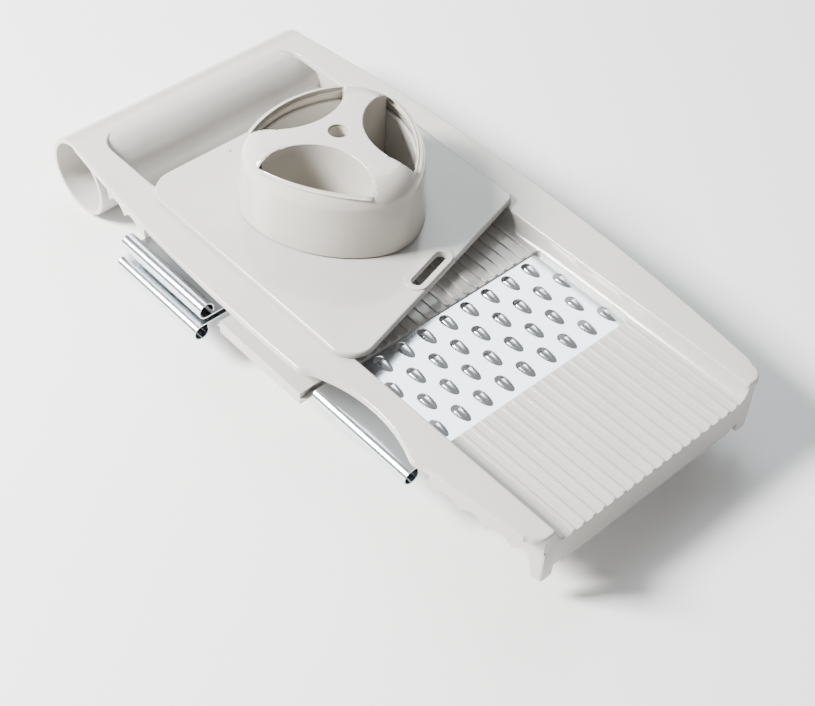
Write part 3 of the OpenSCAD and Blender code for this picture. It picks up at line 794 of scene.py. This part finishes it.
def scalloped(first_cusp, count):
    """Height of a skirt's lower edge along it: arcs from a first cusp, then plain."""

    def height(y):
        place = (y - first_cusp) / SCALLOP_PITCH
        if not 0 <= place <= count:
            return SKIRT_BOTTOM
        off = (place - math.floor(place) - 0.5) * SCALLOP_PITCH
        rise = SCALLOP_H - SCALLOP_R + math.sqrt(max(0, SCALLOP_R**2 - off**2))
        return SKIRT_BOTTOM + max(0, rise)

    return height


def skirt(name, x_sign, start, end, cusp_runs, end_r=0.0):
    """A skirt under a flange, with a rounded lower edge, scalloped where a bowl's rim sits."""
    shape = Builder()
    top = FLANGE_BOTTOM + 0.5 * MM
    soft = 0.6 * MM
    count = round((end - start) / (0.5 * MM))
    rings = []
    for i in range(count + 1):
        y = start + (end - start) * i / count
        low = max(scalloped(*run)(y) for run in cusp_runs)
        rise = min(1, max(0, (y - LOW_END - FOOT_LENGTH) / (4 * MM)))
        low = FOOT_BOTTOM + (low - FOOT_BOTTOM) * math.sin(math.pi / 2 * rise)
        if end_r and y > end - end_r:
            low += end_r - math.sqrt(max(0, end_r**2 - (y - end + end_r) ** 2))
        outer = half_width(y) - SKIRT_INSET
        inner = outer - WALL
        ring = [(outer, top), (outer, low + soft), (outer - soft * 0.3, low + soft * 0.3)]
        ring += [(outer - soft, low), (inner + soft, low), (inner + soft * 0.3, low + soft * 0.3)]
        ring += [(inner, low + soft), (inner, top)]
        rings.append(shape.add([(x_sign * x, y, z) for x, z in ring]))
    shape.strip(*rings)
    shape.faces += [tuple(rings[0]), tuple(reversed(rings[-1]))]
    return shape.object(name)


def apron():
    """The end wall under the channel's mouth, with two feet and a notch beside each."""
    half = half_width(LOW_END) - SKIRT_INSET
    foot = FOOT_BOTTOM
    low = foot + FOOT_HEIGHT
    foot_w = 6.5 * MM
    notch_w = 4.5 * MM
    top = DECK_BOTTOM + 1 * MM
    notch_h = 2.3 * MM
    right = [
        (half, top), (half, foot), (half - foot_w, foot), (half - foot_w - 0.4 * MM, low + notch_h),
        (half - foot_w - notch_w, low + notch_h), (half - foot_w - notch_w - 0.6 * MM, low),
    ]
    corners = right + mirrored(right)
    radii = [0, 1.6 * MM, 1.6 * MM, 0.5 * MM, 0.5 * MM, 0.8 * MM]
    outline = rounded_corners(corners, radii + radii[::-1], 5)
    wall = plate("apron", outline, [], 0, WALL, 0.5 * MM, 0.5 * MM, 3)
    turn = Matrix(((1, 0, 0, 0), (0, 0, -1, LOW_END + WALL), (0, 1, 0, 0), (0, 0, 0, 1)))
    wall.data.transform(turn)
    return wall


def turned_tube(name, outer, inner, start, end, y, z, edge):
    """A tube across the frame with rounded rims. Inner may be 0 for a plain cutter."""
    shape = Builder()
    if inner:
        mid = (outer + inner) / 2
        rim = [(outer, start + edge), (outer - edge * 0.3, start + edge * 0.3), (mid, start)]
        rim += [(inner + edge * 0.3, start + edge * 0.3), (inner, start + edge)]
        far = [(r, start + end - x) for r, x in reversed(rim)]
        section = rim + far
    else:
        section = [(outer, start), (outer, end)]
    rings = [shape.add([(x, y + b, z + c) for b, c in circle(r, 96)]) for r, x in section]
    shape.strip(*rings)
    if inner:
        shape.strip(rings[-1], rings[0])
    else:
        shape.faces += [tuple(rings[0]), tuple(reversed(rings[-1]))]
    return shape.object(name)


def make_frame():
    """The frame's one white moulding: flanges, channel, skirts, apron and handle."""
    shell = plate(
        "frame_shell", slab_outline(), [grip_opening()], FLANGE_BOTTOM, RAIL_TOP, 0, 1.3 * MM, 5
    )
    combine(shell, prism("trough", trough_section(), LOW_END + 0.05 * MM, CHANNEL_END))
    end_wall = block(
        "end wall", (-CHANNEL - WALL, CHANNEL_END - 0.1 * MM, DECK_BOTTOM),
        (CHANNEL + WALL, CHANNEL_END + WALL, FLANGE_BOTTOM + 0.5 * MM),
    )
    combine(shell, end_wall)
    window_low, window_high = WINDOW
    corners = rectangle(-CHANNEL - 4 * MM, window_low, CHANNEL - WINDOW_SHORT, window_high)
    cut = plate(
        "window", rounded_corners(corners, [0, 2.5 * MM, 2.5 * MM, 0], 6), [],
        DECK_BOTTOM - 2 * MM, DECK_TOP + 2.2 * MM, 0, 0,
    )
    combine(shell, cut, "DIFFERENCE")
    passage = block(
        "passage", (-CHANNEL - 5 * MM, window_low, DECK_BOTTOM - 1 * MM),
        (-CHANNEL + 4.5 * MM, window_high, DECK_TOP + 2.9 * MM),
    )
    combine(shell, passage, "DIFFERENCE")
    combine(shell, apron())
    corner_x = half_width(LOW_END) - SKIRT_INSET - 0.6 * MM
    for sign in (-1, 1):
        near, far = sorted((sign * (CHANNEL + WALL - 0.5 * MM), sign * corner_x))
        corner = block(
            "apron corner", (near, LOW_END + 0.2 * MM, DECK_BOTTOM - 1 * MM),
            (far, LOW_END + WALL - 0.1 * MM, FLANGE_BOTTOM + 0.5 * MM),
        )
        combine(shell, corner)
    low = LOW_END + 2 * MM
    rear_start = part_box("left_rear_skirt")[0].y
    front_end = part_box("left_front_skirt")[1].y
    high_cusp = TUBE_LOW.y - 31 * MM
    skirts = [
        skirt("skirt_a", -1, LOW_END + 0.8 * MM, front_end, [(low, 4)], 5 * MM),
        skirt("skirt_b", -1, rear_start, TUBE_LOW.y + 2 * MM, [(high_cusp, 2)]),
        skirt("skirt_c", 1, LOW_END + 0.8 * MM, TUBE_LOW.y + 2 * MM, [(low, 4), (high_cusp, 2)]),
    ]
    for piece in skirts:
        combine(shell, piece)
    rear_edge = block(
        "rear edge", (-CHANNEL + GRIP_CORNER_R, TUBE_Y - 5 * MM, FLANGE_BOTTOM - 1 * MM),
        (CHANNEL - GRIP_CORNER_R, TUBE_Y + 1 * MM, RAIL_TOP + 1 * MM),
    )
    combine(shell, rear_edge, "DIFFERENCE")
    half = TUBE_HIGH.x
    tube = turned_tube(
        "tube", TUBE_R, TUBE_R - TUBE_WALL, -half, half, TUBE_Y, TUBE_R, 0.9 * MM
    )
    combine(shell, tube)
    bore = turned_tube("bore", TUBE_R - TUBE_WALL, 0, -0.2, 0.2, TUBE_Y, TUBE_R, 0)
    combine(shell, bore, "DIFFERENCE")
    nodes = [n for n in BODIES["frame"] if "guide" not in n]
    hand_over(shell, "frame", nodes, FRAME_PLASTIC, 32)


def rib(name, start, end):
    """One rib of the deck, its top edges and its end rounded."""
    corners = rectangle(-RIB_WIDTH / 2, start, RIB_WIDTH / 2, end)
    outline = rounded_corners(corners, [0.8 * MM] * 4, 3)
    low = DECK_TOP - 0.3 * MM
    return plate(name, outline, [], low, DECK_TOP + RIB_HEIGHT, 0, 0.55 * MM, 4)


def make_ribs():
    """The ribs of the two decks, each deck's in a row."""
    runs = [
        ("outfeed_ribs", LOW_END + 0.05 * MM, WINDOW[0] - 0.1 * MM),
        ("infeed_ribs", WINDOW[1] + 0.1 * MM, CHANNEL_END - 1 * MM),
    ]
    for name, start, end in runs:
        piece = rib(name, start, end)
        repeat(
            piece, ROW, FRAME_PLASTIC, Count=RIBS, Pitch=(RIB_PITCH, 0, 0),
            First=(-(RIBS - 1) / 2 * RIB_PITCH, 0, 0),
        )
        hand_over(piece, "frame", [], None, 50)


def make_guides():
    """The bars under the deck that hold the spare inserts."""
    for node in [n for n in BODIES["frame"] if "guide" in n]:
        piece = solid_copy(node, node + "_bar", 0.2 * MM)
        hand_over(piece, "frame", [node], FRAME_PLASTIC)


# ---- graters


def tooth_widths(radius, length, rows):
    """(distance behind the mouth, half width, height) along a tooth, down to its blunt end."""
    steps = []
    for k in range(rows + 1):
        share = math.sin(math.pi / 2 * k / rows)
        half = radius * math.sqrt(1 - share**3) * (1 - 0.12 * share)
        steps.append((length * share, half, radius * (1 - share**1.6)))
    return steps


def teardrop(radius, length, rows, count=10):
    """A tooth's outline in plan: round in front, with a blunt tail behind."""
    back = [(half, -y) for y, half, _ in tooth_widths(radius, length, rows)[1:-1]]
    left = [(-x, y) for x, y in back]
    return arc(0, 0, radius, 0, 180, count) + left + [(0, -length)] + back[::-1]


def tooth(name, radius, length, lean, rise, rows=10, around=12):
    """A pressed-up half round that opens towards the handle, joined to the sheet at its foot."""
    shape = Builder()
    rings = []
    steps = tooth_widths(radius, length, rows)
    for y, half, height in steps[:-1]:
        ring = []
        for i in range(around + 1):
            turn = math.pi * i / around
            back = -y - lean * (1 - y / length) * math.sin(turn)
            ring.append((half * math.cos(turn), back, rise * height * math.sin(turn)))
        rings.append(shape.add(ring))
    shape.strip(*rings, closed=False)
    tip = shape.add([(0, -length, 0)])[0]
    last = rings[-1]
    shape.faces += [(last[i], last[i + 1], tip) for i in range(around)]
    return shape.object(name)


def grater(sort, rows, longest, pitch_x, pitch_y, first_y, middle_x, radius, length, rise, fine):
    """A steel insert: a sheet with a rolled left edge and rows of pressed teeth. Fine is the
    number of steps along a tooth. The medium grater's roll turns up, the others' turn down."""
    low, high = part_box(sort + "_grater")
    roll_up = sort == "medium"
    first_y += (low.y + high.y) / 2
    shape = Builder()
    left, right, corner = low.x + ROLL_R, high.x - 2 * MM, 2 * MM
    outline = [(left, low.y), (right, low.y)]
    outline += arc(right, low.y + corner, corner, -90, 0, 5)[1:]
    outline += arc(right, high.y - corner, corner, 0, 90, 5)
    outline += [(left, high.y)]
    loops = [shape.level(outline)]
    around = 12 if fine > 4 else 6
    drop = teardrop(radius, length, fine, 10 if fine > 4 else 6)
    lines = []
    for row in range(rows):
        count = longest - row % 2
        first_x, y = middle_x - (count - 1) / 2 * pitch_x, first_y + row * pitch_y
        lines.append((count, first_x, y))
        for i in range(count):
            x = middle_x + (i - (count - 1) / 2) * pitch_x
            loops.append(shape.level([(x + a, y + b) for a, b in drop]))
    shape.fill(loops, None)
    roll = arc(left, -ROLL_R, ROLL_R, 90, ROLL_END, 40)
    ends = [shape.add([(x, y, z) for x, z in roll]) for y in (low.y, high.y)]
    shape.strip(*ends, closed=False)
    name = sort + "_grater_sheet"
    pieces = [shape.object(name)]
    for count, first_x, y in lines:
        one = tooth("tooth row", radius, length, radius * 0.4, rise, fine, around)
        repeat(one, ROW, GRATER_STEEL, Count=count, Pitch=(pitch_x, 0, 0), First=(first_x, y, 0))
        pieces.append(one)
    piece = joined(name, pieces)
    with edited(piece.data) as form:
        bmesh.ops.remove_doubles(form, verts=form.verts, dist=2e-6)
        bmesh.ops.recalc_face_normals(form, faces=form.faces)
        flat = max(form.faces, key=lambda f: f.calc_area() if abs(f.normal.z) > 0.99 else 0)
        if flat.normal.z < 0:
            bmesh.ops.reverse_faces(form, faces=form.faces)
    thicken(piece, SHEET_T)
    if roll_up:
        piece.data.transform(Matrix.Scale(-1, 4, (0, 0, 1)))
        piece.data.flip_normals()
    top = low.z if roll_up else low.z + 2 * ROLL_R
    piece.data.transform(Matrix.Translation((0, 0, top)))
    hand_over(piece, sort + "_insert", [sort + "_grater"], GRATER_STEEL, 40)


def make_graters():
    """The coarse grater in the window, and the medium and fine ones in store. For each: rows,
    teeth in the longest row, pitches, the first row's Y from the sheet's middle, the rows'
    middle X, a tooth's radius and length, its rise in radii, and its steps."""
    sorts = [
        ("coarse", 4, 9, 13.25, 14.3, 3.7 - 1.5 * 14.3, 0, 2.85, 8.5, 0.58, 10),
        ("medium", 6, 15, 7, 8.6, -2.2 * 8.6, -10, 1.6, 4.6, 0.85, 6),
        ("fine", 11, 25, 4.2, 4.8, -4.7 * 4.8, -12, 0.9, 2.2, 0.9, 4),
    ]
    for sort, rows, longest, *sizes, rise, fine in sorts:
        grater(sort, rows, longest, *[size * MM for size in sizes], rise, fine)


# ---- slicing insert


def make_slicer():
    """The white insert in store that carries the slicing blade."""
    low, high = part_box("cassette_body")
    body = solid_copy("cassette_body", "slicing_insert_body", 0.25 * MM)
    grip = plate(
        "grip",
        rounded_corners(
            rectangle(low.x + 0.1 * MM, low.y + 1.8 * MM, low.x + 20 * MM, high.y - 1.8 * MM),
            [2.5 * MM, 1.2 * MM, 1.2 * MM, 2.5 * MM], 6,
        ),
        [], low.z + 0.1 * MM, high.z - 0.05 * MM, 0.8 * MM, 0.9 * MM, 4,
    )
    piece = joined("slicing_insert_body", [body, grip])
    hand_over(piece, "slicing_insert", ["cassette_body"], FRAME_PLASTIC)
    blade = solid_copy("cassette_blade", "slicing_blade", 0.06 * MM, 1)
    hand_over(blade, "slicing_insert", ["cassette_blade"], BLADE_STEEL)
    low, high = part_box("blade_rivets")
    radius = (high.y - low.y) / 2
    rivet = dome_pin("rivet_heads", radius, low.z, high.z)
    repeat(
        rivet, ROW, BLADE_STEEL, Count=2, Pitch=(high.x - low.x - 2 * radius, 0, 0),
        First=(low.x + radius, (low.y + high.y) / 2, 0),
    )
    hand_over(rivet, "slicing_insert", ["blade_rivets"], None)


def dome_pin(name, radius, low, high):
    """A turned pin with a low rounded head."""
    crown = radius * 0.25
    section = [(0, low), (radius * 0.9, low), (radius, low + radius * 0.1), (radius, high - crown)]
    section += [(radius * 0.92, high - crown * 0.5), (radius * 0.6, high - crown * 0.1), (0, high)]
    return turned(name, section, 20)


def turned(name, section, around):
    """A form turned about the Z axis from a section of (radius, height) pairs."""
    shape = Builder()
    rings = []
    for r, z in section:
        if r:
            rings.append(shape.level(circle(r, around), z))
        else:
            rings.append(shape.add([(0, 0, z)]) * around)
    for a, b in zip(rings, rings[1:]):
        for i in range(around):
            j = (i + 1) % around
            face = (a[i], a[j], b[j], b[i])
            shape.faces.append(tuple(dict.fromkeys(face)))
    return shape.object(name)


# ---- hand guard


def guard_front(x):
    """Y of the slanted front edge."""
    return GUARD_FRONT_LEFT + GUARD_SLANT * (x + GUARD_HALF) / (2 * GUARD_HALF)


def guard_outline():
    corners = [
        (-GUARD_HALF, guard_front(-GUARD_HALF)), (GUARD_HALF, guard_front(GUARD_HALF)),
        (GUARD_HALF, GUARD_REAR), (-GUARD_HALF, GUARD_REAR),
    ]
    return rounded_corners(corners, [12 * MM, 5 * MM, 15 * MM, 15 * MM], 14)


def slot_outline(grow):
    """The hanging slot along the slanted edge, grown by a distance."""
    half = (SLOT_LENGTH - SLOT_WIDTH) / 2
    radius = SLOT_WIDTH / 2 + grow
    points = arc(half, 0, radius, -90, 90, 14) + arc(-half, 0, radius, 90, 270, 14)
    return turned_plan(points, SLANT, guard_front(0) + SLOT_SETBACK / math.cos(SLANT))


def cap_outline(draw_in, count=40):
    """The cap's rounded triangle in plan: three wide arcs and three corner arcs."""
    points = []
    core_r = CAP_SIDE_R - CAP_CORNER_R
    shift = CAP_SIDE - CAP_SIDE_R
    corner_r = CAP_CORNER_R - draw_in
    # where two of the side circles, drawn in to their corner centres, cross
    reach = shift / 2 + math.sqrt(core_r**2 - 0.75 * shift**2)
    for side in SIDES:
        corner, next_corner = [polar(reach, side + math.radians(turn)) for turn in (-60, 60)]
        middle = polar(shift, side)
        start = bearing(polar(shift, side - math.radians(120)), corner)
        end = bearing(middle, corner)
        end += 360 * math.ceil((start - end) / 360)
        points += arc(*corner, corner_r, start, end, count // 2)[:-1]
        finish = bearing(middle, next_corner)
        finish += 360 * math.ceil((end - finish) / 360)
        points += arc(*middle, core_r + corner_r, end, finish, count)[:-1]
    return [(x, y + CAP_Y) for x, y in points]


def make_guard():
    """The sliding plate with its hanging slot, the chimney that holds the pusher, the runners."""
    well = cap_outline(CHIMNEY_IN)
    shell = plate(
        "guard_shell", guard_outline(), [slot_outline(0), well],
        GUARD_BOTTOM, GUARD_TOP, 0.5 * MM, 1.2 * MM, 5,
    )
    border = plate(
        "border", slot_outline(3 * MM), [slot_outline(0.01 * MM)],
        GUARD_TOP - 0.8 * MM, GUARD_TOP + 0.6 * MM, 0, 0.35 * MM, 4,
    )
    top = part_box("guard_chimney")[1].z
    chimney = plate(
        "chimney", cap_outline(CHIMNEY_OUT), [well],
        GUARD_BOTTOM + 0.5 * MM, top, 0, 0.7 * MM, 4,
    )
    combine(shell, border)
    combine(shell, chimney)
    stud = dome_pin("stud", 1.3 * MM, GUARD_TOP - 0.5 * MM, GUARD_TOP + 0.5 * MM)
    stud.data.transform(Matrix.Translation((STUD_X, GUARD_REAR - STUD_SETBACK, 0)))
    combine(shell, stud)
    hand_over(shell, "guard", ["guard_plate", "guard_chimney"], GUARD_PLASTIC)
    runners = solid_copy("guard_runners", "guard_runner_bars", 0.4 * MM)
    hand_over(runners, "guard", ["guard_runners"], GUARD_PLASTIC)


# ---- pusher

CAP_SHOULDER = CAP_HIGH.z - 13.5 * MM
SHOULDER_REACH = 12 * MM
SHOULDER_RISE = 10.2 * MM
CROWN_REACH = 38 * MM
CROWN_RISE = CAP_HIGH.z - CAP_SHOULDER - SHOULDER_RISE
EDGE_R = 0.5 * MM


def lens_outline(side, count=30):
    """A finger opening between its hollow inner arc and its outer arc."""
    near, far = CORE_WAIST + CORE_HOLLOW_R, LENS_OUT - LENS_OUT_R
    # the two circles cross where the lens has its tips
    x = (near**2 - far**2 + LENS_OUT_R**2 - CORE_HOLLOW_R**2) / (2 * (near - far))
    half = math.sqrt(LENS_OUT_R**2 - (x - far) ** 2)
    outer = math.degrees(math.asin(half / LENS_OUT_R))
    inner = math.degrees(math.atan2(half, x - near))
    points = arc(far, 0, LENS_OUT_R, -outer, outer, count)
    points += arc(near, 0, CORE_HOLLOW_R, inner, 360 - inner, count)[1:-1]
    return turned_plan(points, side, CAP_Y)


def dome_height(points, outline, openings):
    """Height of the cap's skin over points in plan: shoulder, crown and rounded openings."""
    depth = (distance_to(points, outline) - CAP_DRAFT).clip(0)
    shoulder = 1 - (1 - (depth / SHOULDER_REACH).clip(0, 1)) ** 2
    crown = 1 - (1 - (depth / CROWN_REACH).clip(0, 1)) ** 2
    height = CAP_SHOULDER + SHOULDER_RISE * np.sqrt(shoulder) + CROWN_RISE * crown
    near = np.full(len(points), 1e9)
    for opening in openings:
        near = np.minimum(near, distance_to(points, opening))
    short = (EDGE_R - near).clip(0)
    return height - (EDGE_R - np.sqrt(EDGE_R**2 - short**2))


def hole_outline():
    """The round hole in the cap's middle."""
    return [(x, y + CAP_Y) for x, y in circle(CAP_HOLE_R, 40)]


def make_cap():
    """The cap's skin, thickened inwards, with three finger openings and a hole in its middle."""
    shape = Builder()
    outline = cap_outline(0)
    openings = [lens_outline(side) for side in SIDES]
    openings.append(hole_outline())
    insets = [CAP_DRAFT + SHOULDER_REACH * (1 - math.cos(math.radians(a))) for a in range(0, 91, 6)]
    insets += [insets[-1] + 2 * MM * k for k in range(1, 13)]
    rims = [EDGE_R * (1 - math.cos(math.radians(a))) for a in (0, 20, 40, 60, 75, 90)]
    ring_sets = []
    for opening in openings:
        opening = counter_clockwise(opening)
        ring_sets.append([inset(opening, -d) for d in rims])
    extra = []
    for d in insets[1:]:
        if d < CAP_CORNER_R - 2 * MM:
            extra += cap_outline(d)
    grid = np.arange(-20, 21, 2.0) * MM
    extra += [(x, y + CAP_Y) for x in grid for y in grid if math.hypot(x, y) < 17 * MM]
    clear = np.ones(len(extra), bool)
    for rings in ring_sets:
        clear &= ~inside(extra, rings[-1]) & (distance_to(extra, rings[-1]) > 0.5 * MM)
    clear &= inside(extra, cap_outline(insets[0] + 0.02 * MM))
    extra = [p for p, wanted in zip(extra, clear) if wanted]
    for rings in ring_sets:
        for ring in rings[1:]:
            extra += ring
    loops = [shape.level(cap_outline(insets[0]))]
    loops += [shape.level(rings[0]) for rings in ring_sets]
    shape.fill(loops, lambda x, y: 0, extra)
    flat = [p[:2] for p in shape.points]
    heights = dome_height(flat, outline, openings)
    shape.points = [(x, y, z) for (x, y), z in zip(flat, heights)]
    bottom = CAP_LOW.z
    side_rings = [loops[0]]
    for k in range(1, 7):
        share = k / 6
        z = CAP_SHOULDER + (bottom + 0.3 * MM - CAP_SHOULDER) * share
        side_rings.append(shape.level(cap_outline(CAP_DRAFT * (1 - share)), z))
    side_rings.append(shape.level(cap_outline(0.3 * MM), bottom))
    shape.strip(*side_rings)
    cap = shape.object("cap_shell")
    with edited(cap.data) as form:
        top = max(form.faces, key=lambda f: f.calc_center_median().z)
        if top.normal.z < 0:
            bmesh.ops.reverse_faces(form, faces=form.faces)
    thicken(cap, CAP_WALL)
    hand_over(cap, "pusher", ["pusher_cap"], CAP_PLASTIC, 45)
    return outline, openings


def core_outline():
    """The three-lobed core in plan: lobes in the cap's corners, hollow between them."""
    edge = cap_outline(CORE_IN, 80)
    points = np.array(edge)
    centres = [polar(CORE_WAIST + CORE_HOLLOW_R, side, 0, CAP_Y) for side in SIDES]
    outside = np.ones(len(points), bool)
    for centre in centres:
        outside &= np.linalg.norm(points - centre, axis=1) > CORE_HOLLOW_R
    order = np.arctan2(points[:, 1] - CAP_Y, points[:, 0])
    lobes = []
    for side in SIDES:
        turn = (order - side - math.radians(60) + math.pi) % (2 * math.pi) - math.pi
        chosen = [i for i in range(len(points)) if outside[i] and abs(turn[i]) < math.radians(60)]
        lobes.append([edge[i] for i in sorted(chosen, key=lambda i: turn[i])])
    result = []
    for k, (side, centre) in enumerate(zip(SIDES, centres)):
        middle = math.degrees(side) + 180
        start, end = [
            middle + (bearing(centre, point) - middle + 180) % 360 - 180
            for point in (lobes[k - 1][-1], lobes[k][0])
        ]
        result += arc(*centre, CORE_HOLLOW_R, start, end, 36) + lobes[k]
    return clean(result, 0.05 * MM)


def make_core(outline, openings):
    """The hollow walls under the cap, the tube under its hole, the disc and the pins."""
    shape = Builder()
    disc_low, disc_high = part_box("pusher_disc")
    loop = counter_clockwise(core_outline())
    tube = hole_outline()
    for walls in [(loop, inset(loop, CAP_WALL)), (inset(tube, -CAP_WALL), tube)]:
        tops = [dome_height(ring, outline, openings) for ring in walls]
        level = np.minimum(*tops) - EDGE_R * 1.02
        low_out, low_in = [shape.level(ring, disc_high.z - 0.3 * MM) for ring in walls]
        high_out, high_in = [
            shape.add([(x, y, z) for (x, y), z in zip(ring, level)]) for ring in walls
        ]
        shape.strip(low_out, high_out, high_in, low_in, low_out)
    core = shape.object("core_walls")
    hand_over(core, "pusher", ["pusher_core"], CAP_PLASTIC, 40)
    disc = plate(
        "pusher_plate", cap_outline(CORE_IN), [], disc_low.z, disc_high.z, 0.6 * MM, 0.6 * MM, 3
    )
    hand_over(disc, "pusher", ["pusher_disc"], CAP_PLASTIC)
    low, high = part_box("food_pins")
    section = [
        (0, low.z), (PIN_R * 0.3, low.z + 0.3 * MM), (PIN_R, low.z + 2 * MM), (PIN_R, high.z),
        (0, high.z),
    ]
    rings = []
    ring_step = (CAP_SIDE - CORE_IN - PIN_MARGIN) / 2
    for count, reach in [(1, 0.0), (6, ring_step), (9, 2 * ring_step)]:
        pin = turned("food pins", section, 12)
        if count > 1:
            repeat(
                pin, RING, BLADE_STEEL, Count=count, Radius=reach, Middle=(0, CAP_Y, 0),
                Turn=(0, 0, math.radians(30)),
            )
        else:
            repeat(pin, ROW, BLADE_STEEL, Count=1, First=(0, CAP_Y, 0), Pitch=(0, 0, 0))
        rings.append(pin)
    pins = joined("food_pin_set", rings)
    hand_over(pins, "pusher", ["food_pins"], BLADE_STEEL, 50)


# ---- floor, light, camera


def make_floor():
    """A plain pale floor."""
    shape = Builder()
    shape.faces.append(tuple(shape.level(rectangle(-FLOOR_HALF, -FLOOR_HALF, FLOOR_HALF, FLOOR_HALF))))
    floor = shape.object("floor")
    floor.location.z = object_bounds()[0].z
    material, nodes, shader = new_material("floor paper")
    place = nodes.new("ShaderNodeTexCoord")
    fibre = noise(nodes, 900, 2)
    bump = shader_node(nodes, "Bump", Strength=0.05)
    wire(
        material.node_tree, (place, "Object", fibre, "Vector"), (fibre, "Fac", bump, "Height"),
        (bump, 0, shader, "Normal"),
    )
    shader.inputs["Base Color"].default_value = (0.95, 0.95, 0.95, 1)
    shader.inputs["Roughness"].default_value = 0.7
    floor.data.materials.append(material)


def area_light(name, place, size, watts, color):
    """A square panel that faces the slicer."""
    data = bpy.data.lights.new(name, "AREA")
    data.size = size
    data.energy = watts
    data.color = color
    lamp = new_object(name, data)
    lamp.location = place
    lamp.rotation_euler = (AIM - Vector(place)).to_track_quat("-Z", "Y").to_euler()


def make_light():
    """A small bright key from the left and behind, a cool wide panel from the right and
    behind, and a room that is pale above and darker at the horizon."""
    area_light("key", (-0.85, 0.6, 0.85), size=0.38, watts=86, color=(1, 0.985, 0.96))
    area_light("sky panel", (0.75, 0.75, 1.15), size=1.1, watts=20, color=(0.9, 0.96, 1))
    world = bpy.data.worlds.new("studio")
    world.use_nodes = True
    tree = world.node_tree
    nodes = tree.nodes
    place = nodes.new("ShaderNodeTexCoord")
    split = nodes.new("ShaderNodeSeparateXYZ")
    fade = nodes.new("ShaderNodeValToRGB")
    stops = [(0.0, (0.56, 0.53, 0.5, 1)), (0.75, (1, 1, 1, 1))]
    for element, (position, color) in zip(fade.color_ramp.elements, stops):
        element.position = position
        element.color = color
    wire(
        tree, (place, "Generated", split, 0), (split, "Z", fade, 0),
        (fade, 0, nodes["Background"], "Color"),
    )
    nodes["Background"].inputs["Strength"].default_value = 0.36
    bpy.context.scene.world = world


def make_camera():
    """A camera above the lower left corner, looking along the frame towards the handle."""
    data = bpy.data.cameras.new("camera")
    data.lens = 70
    data.sensor_width = 36
    camera = new_object("camera", data)
    turn = Matrix.Identity(4)
    for angle, axis in [(CAMERA_HEADING, "Z"), (90 - CAMERA_DOWN, "X"), (CAMERA_ROLL, "Z")]:
        turn = turn @ Matrix.Rotation(math.radians(angle), 4, axis)
    camera.matrix_world = Matrix.Translation(CAMERA_PLACE) @ turn
    bpy.context.scene.camera = camera


make_camera()
make_floor()
make_frame()
make_ribs()
make_guides()
make_graters()
make_slicer()
make_guard()
cap_plan, cap_openings = make_cap()
make_core(cap_plan, cap_openings)
make_light()
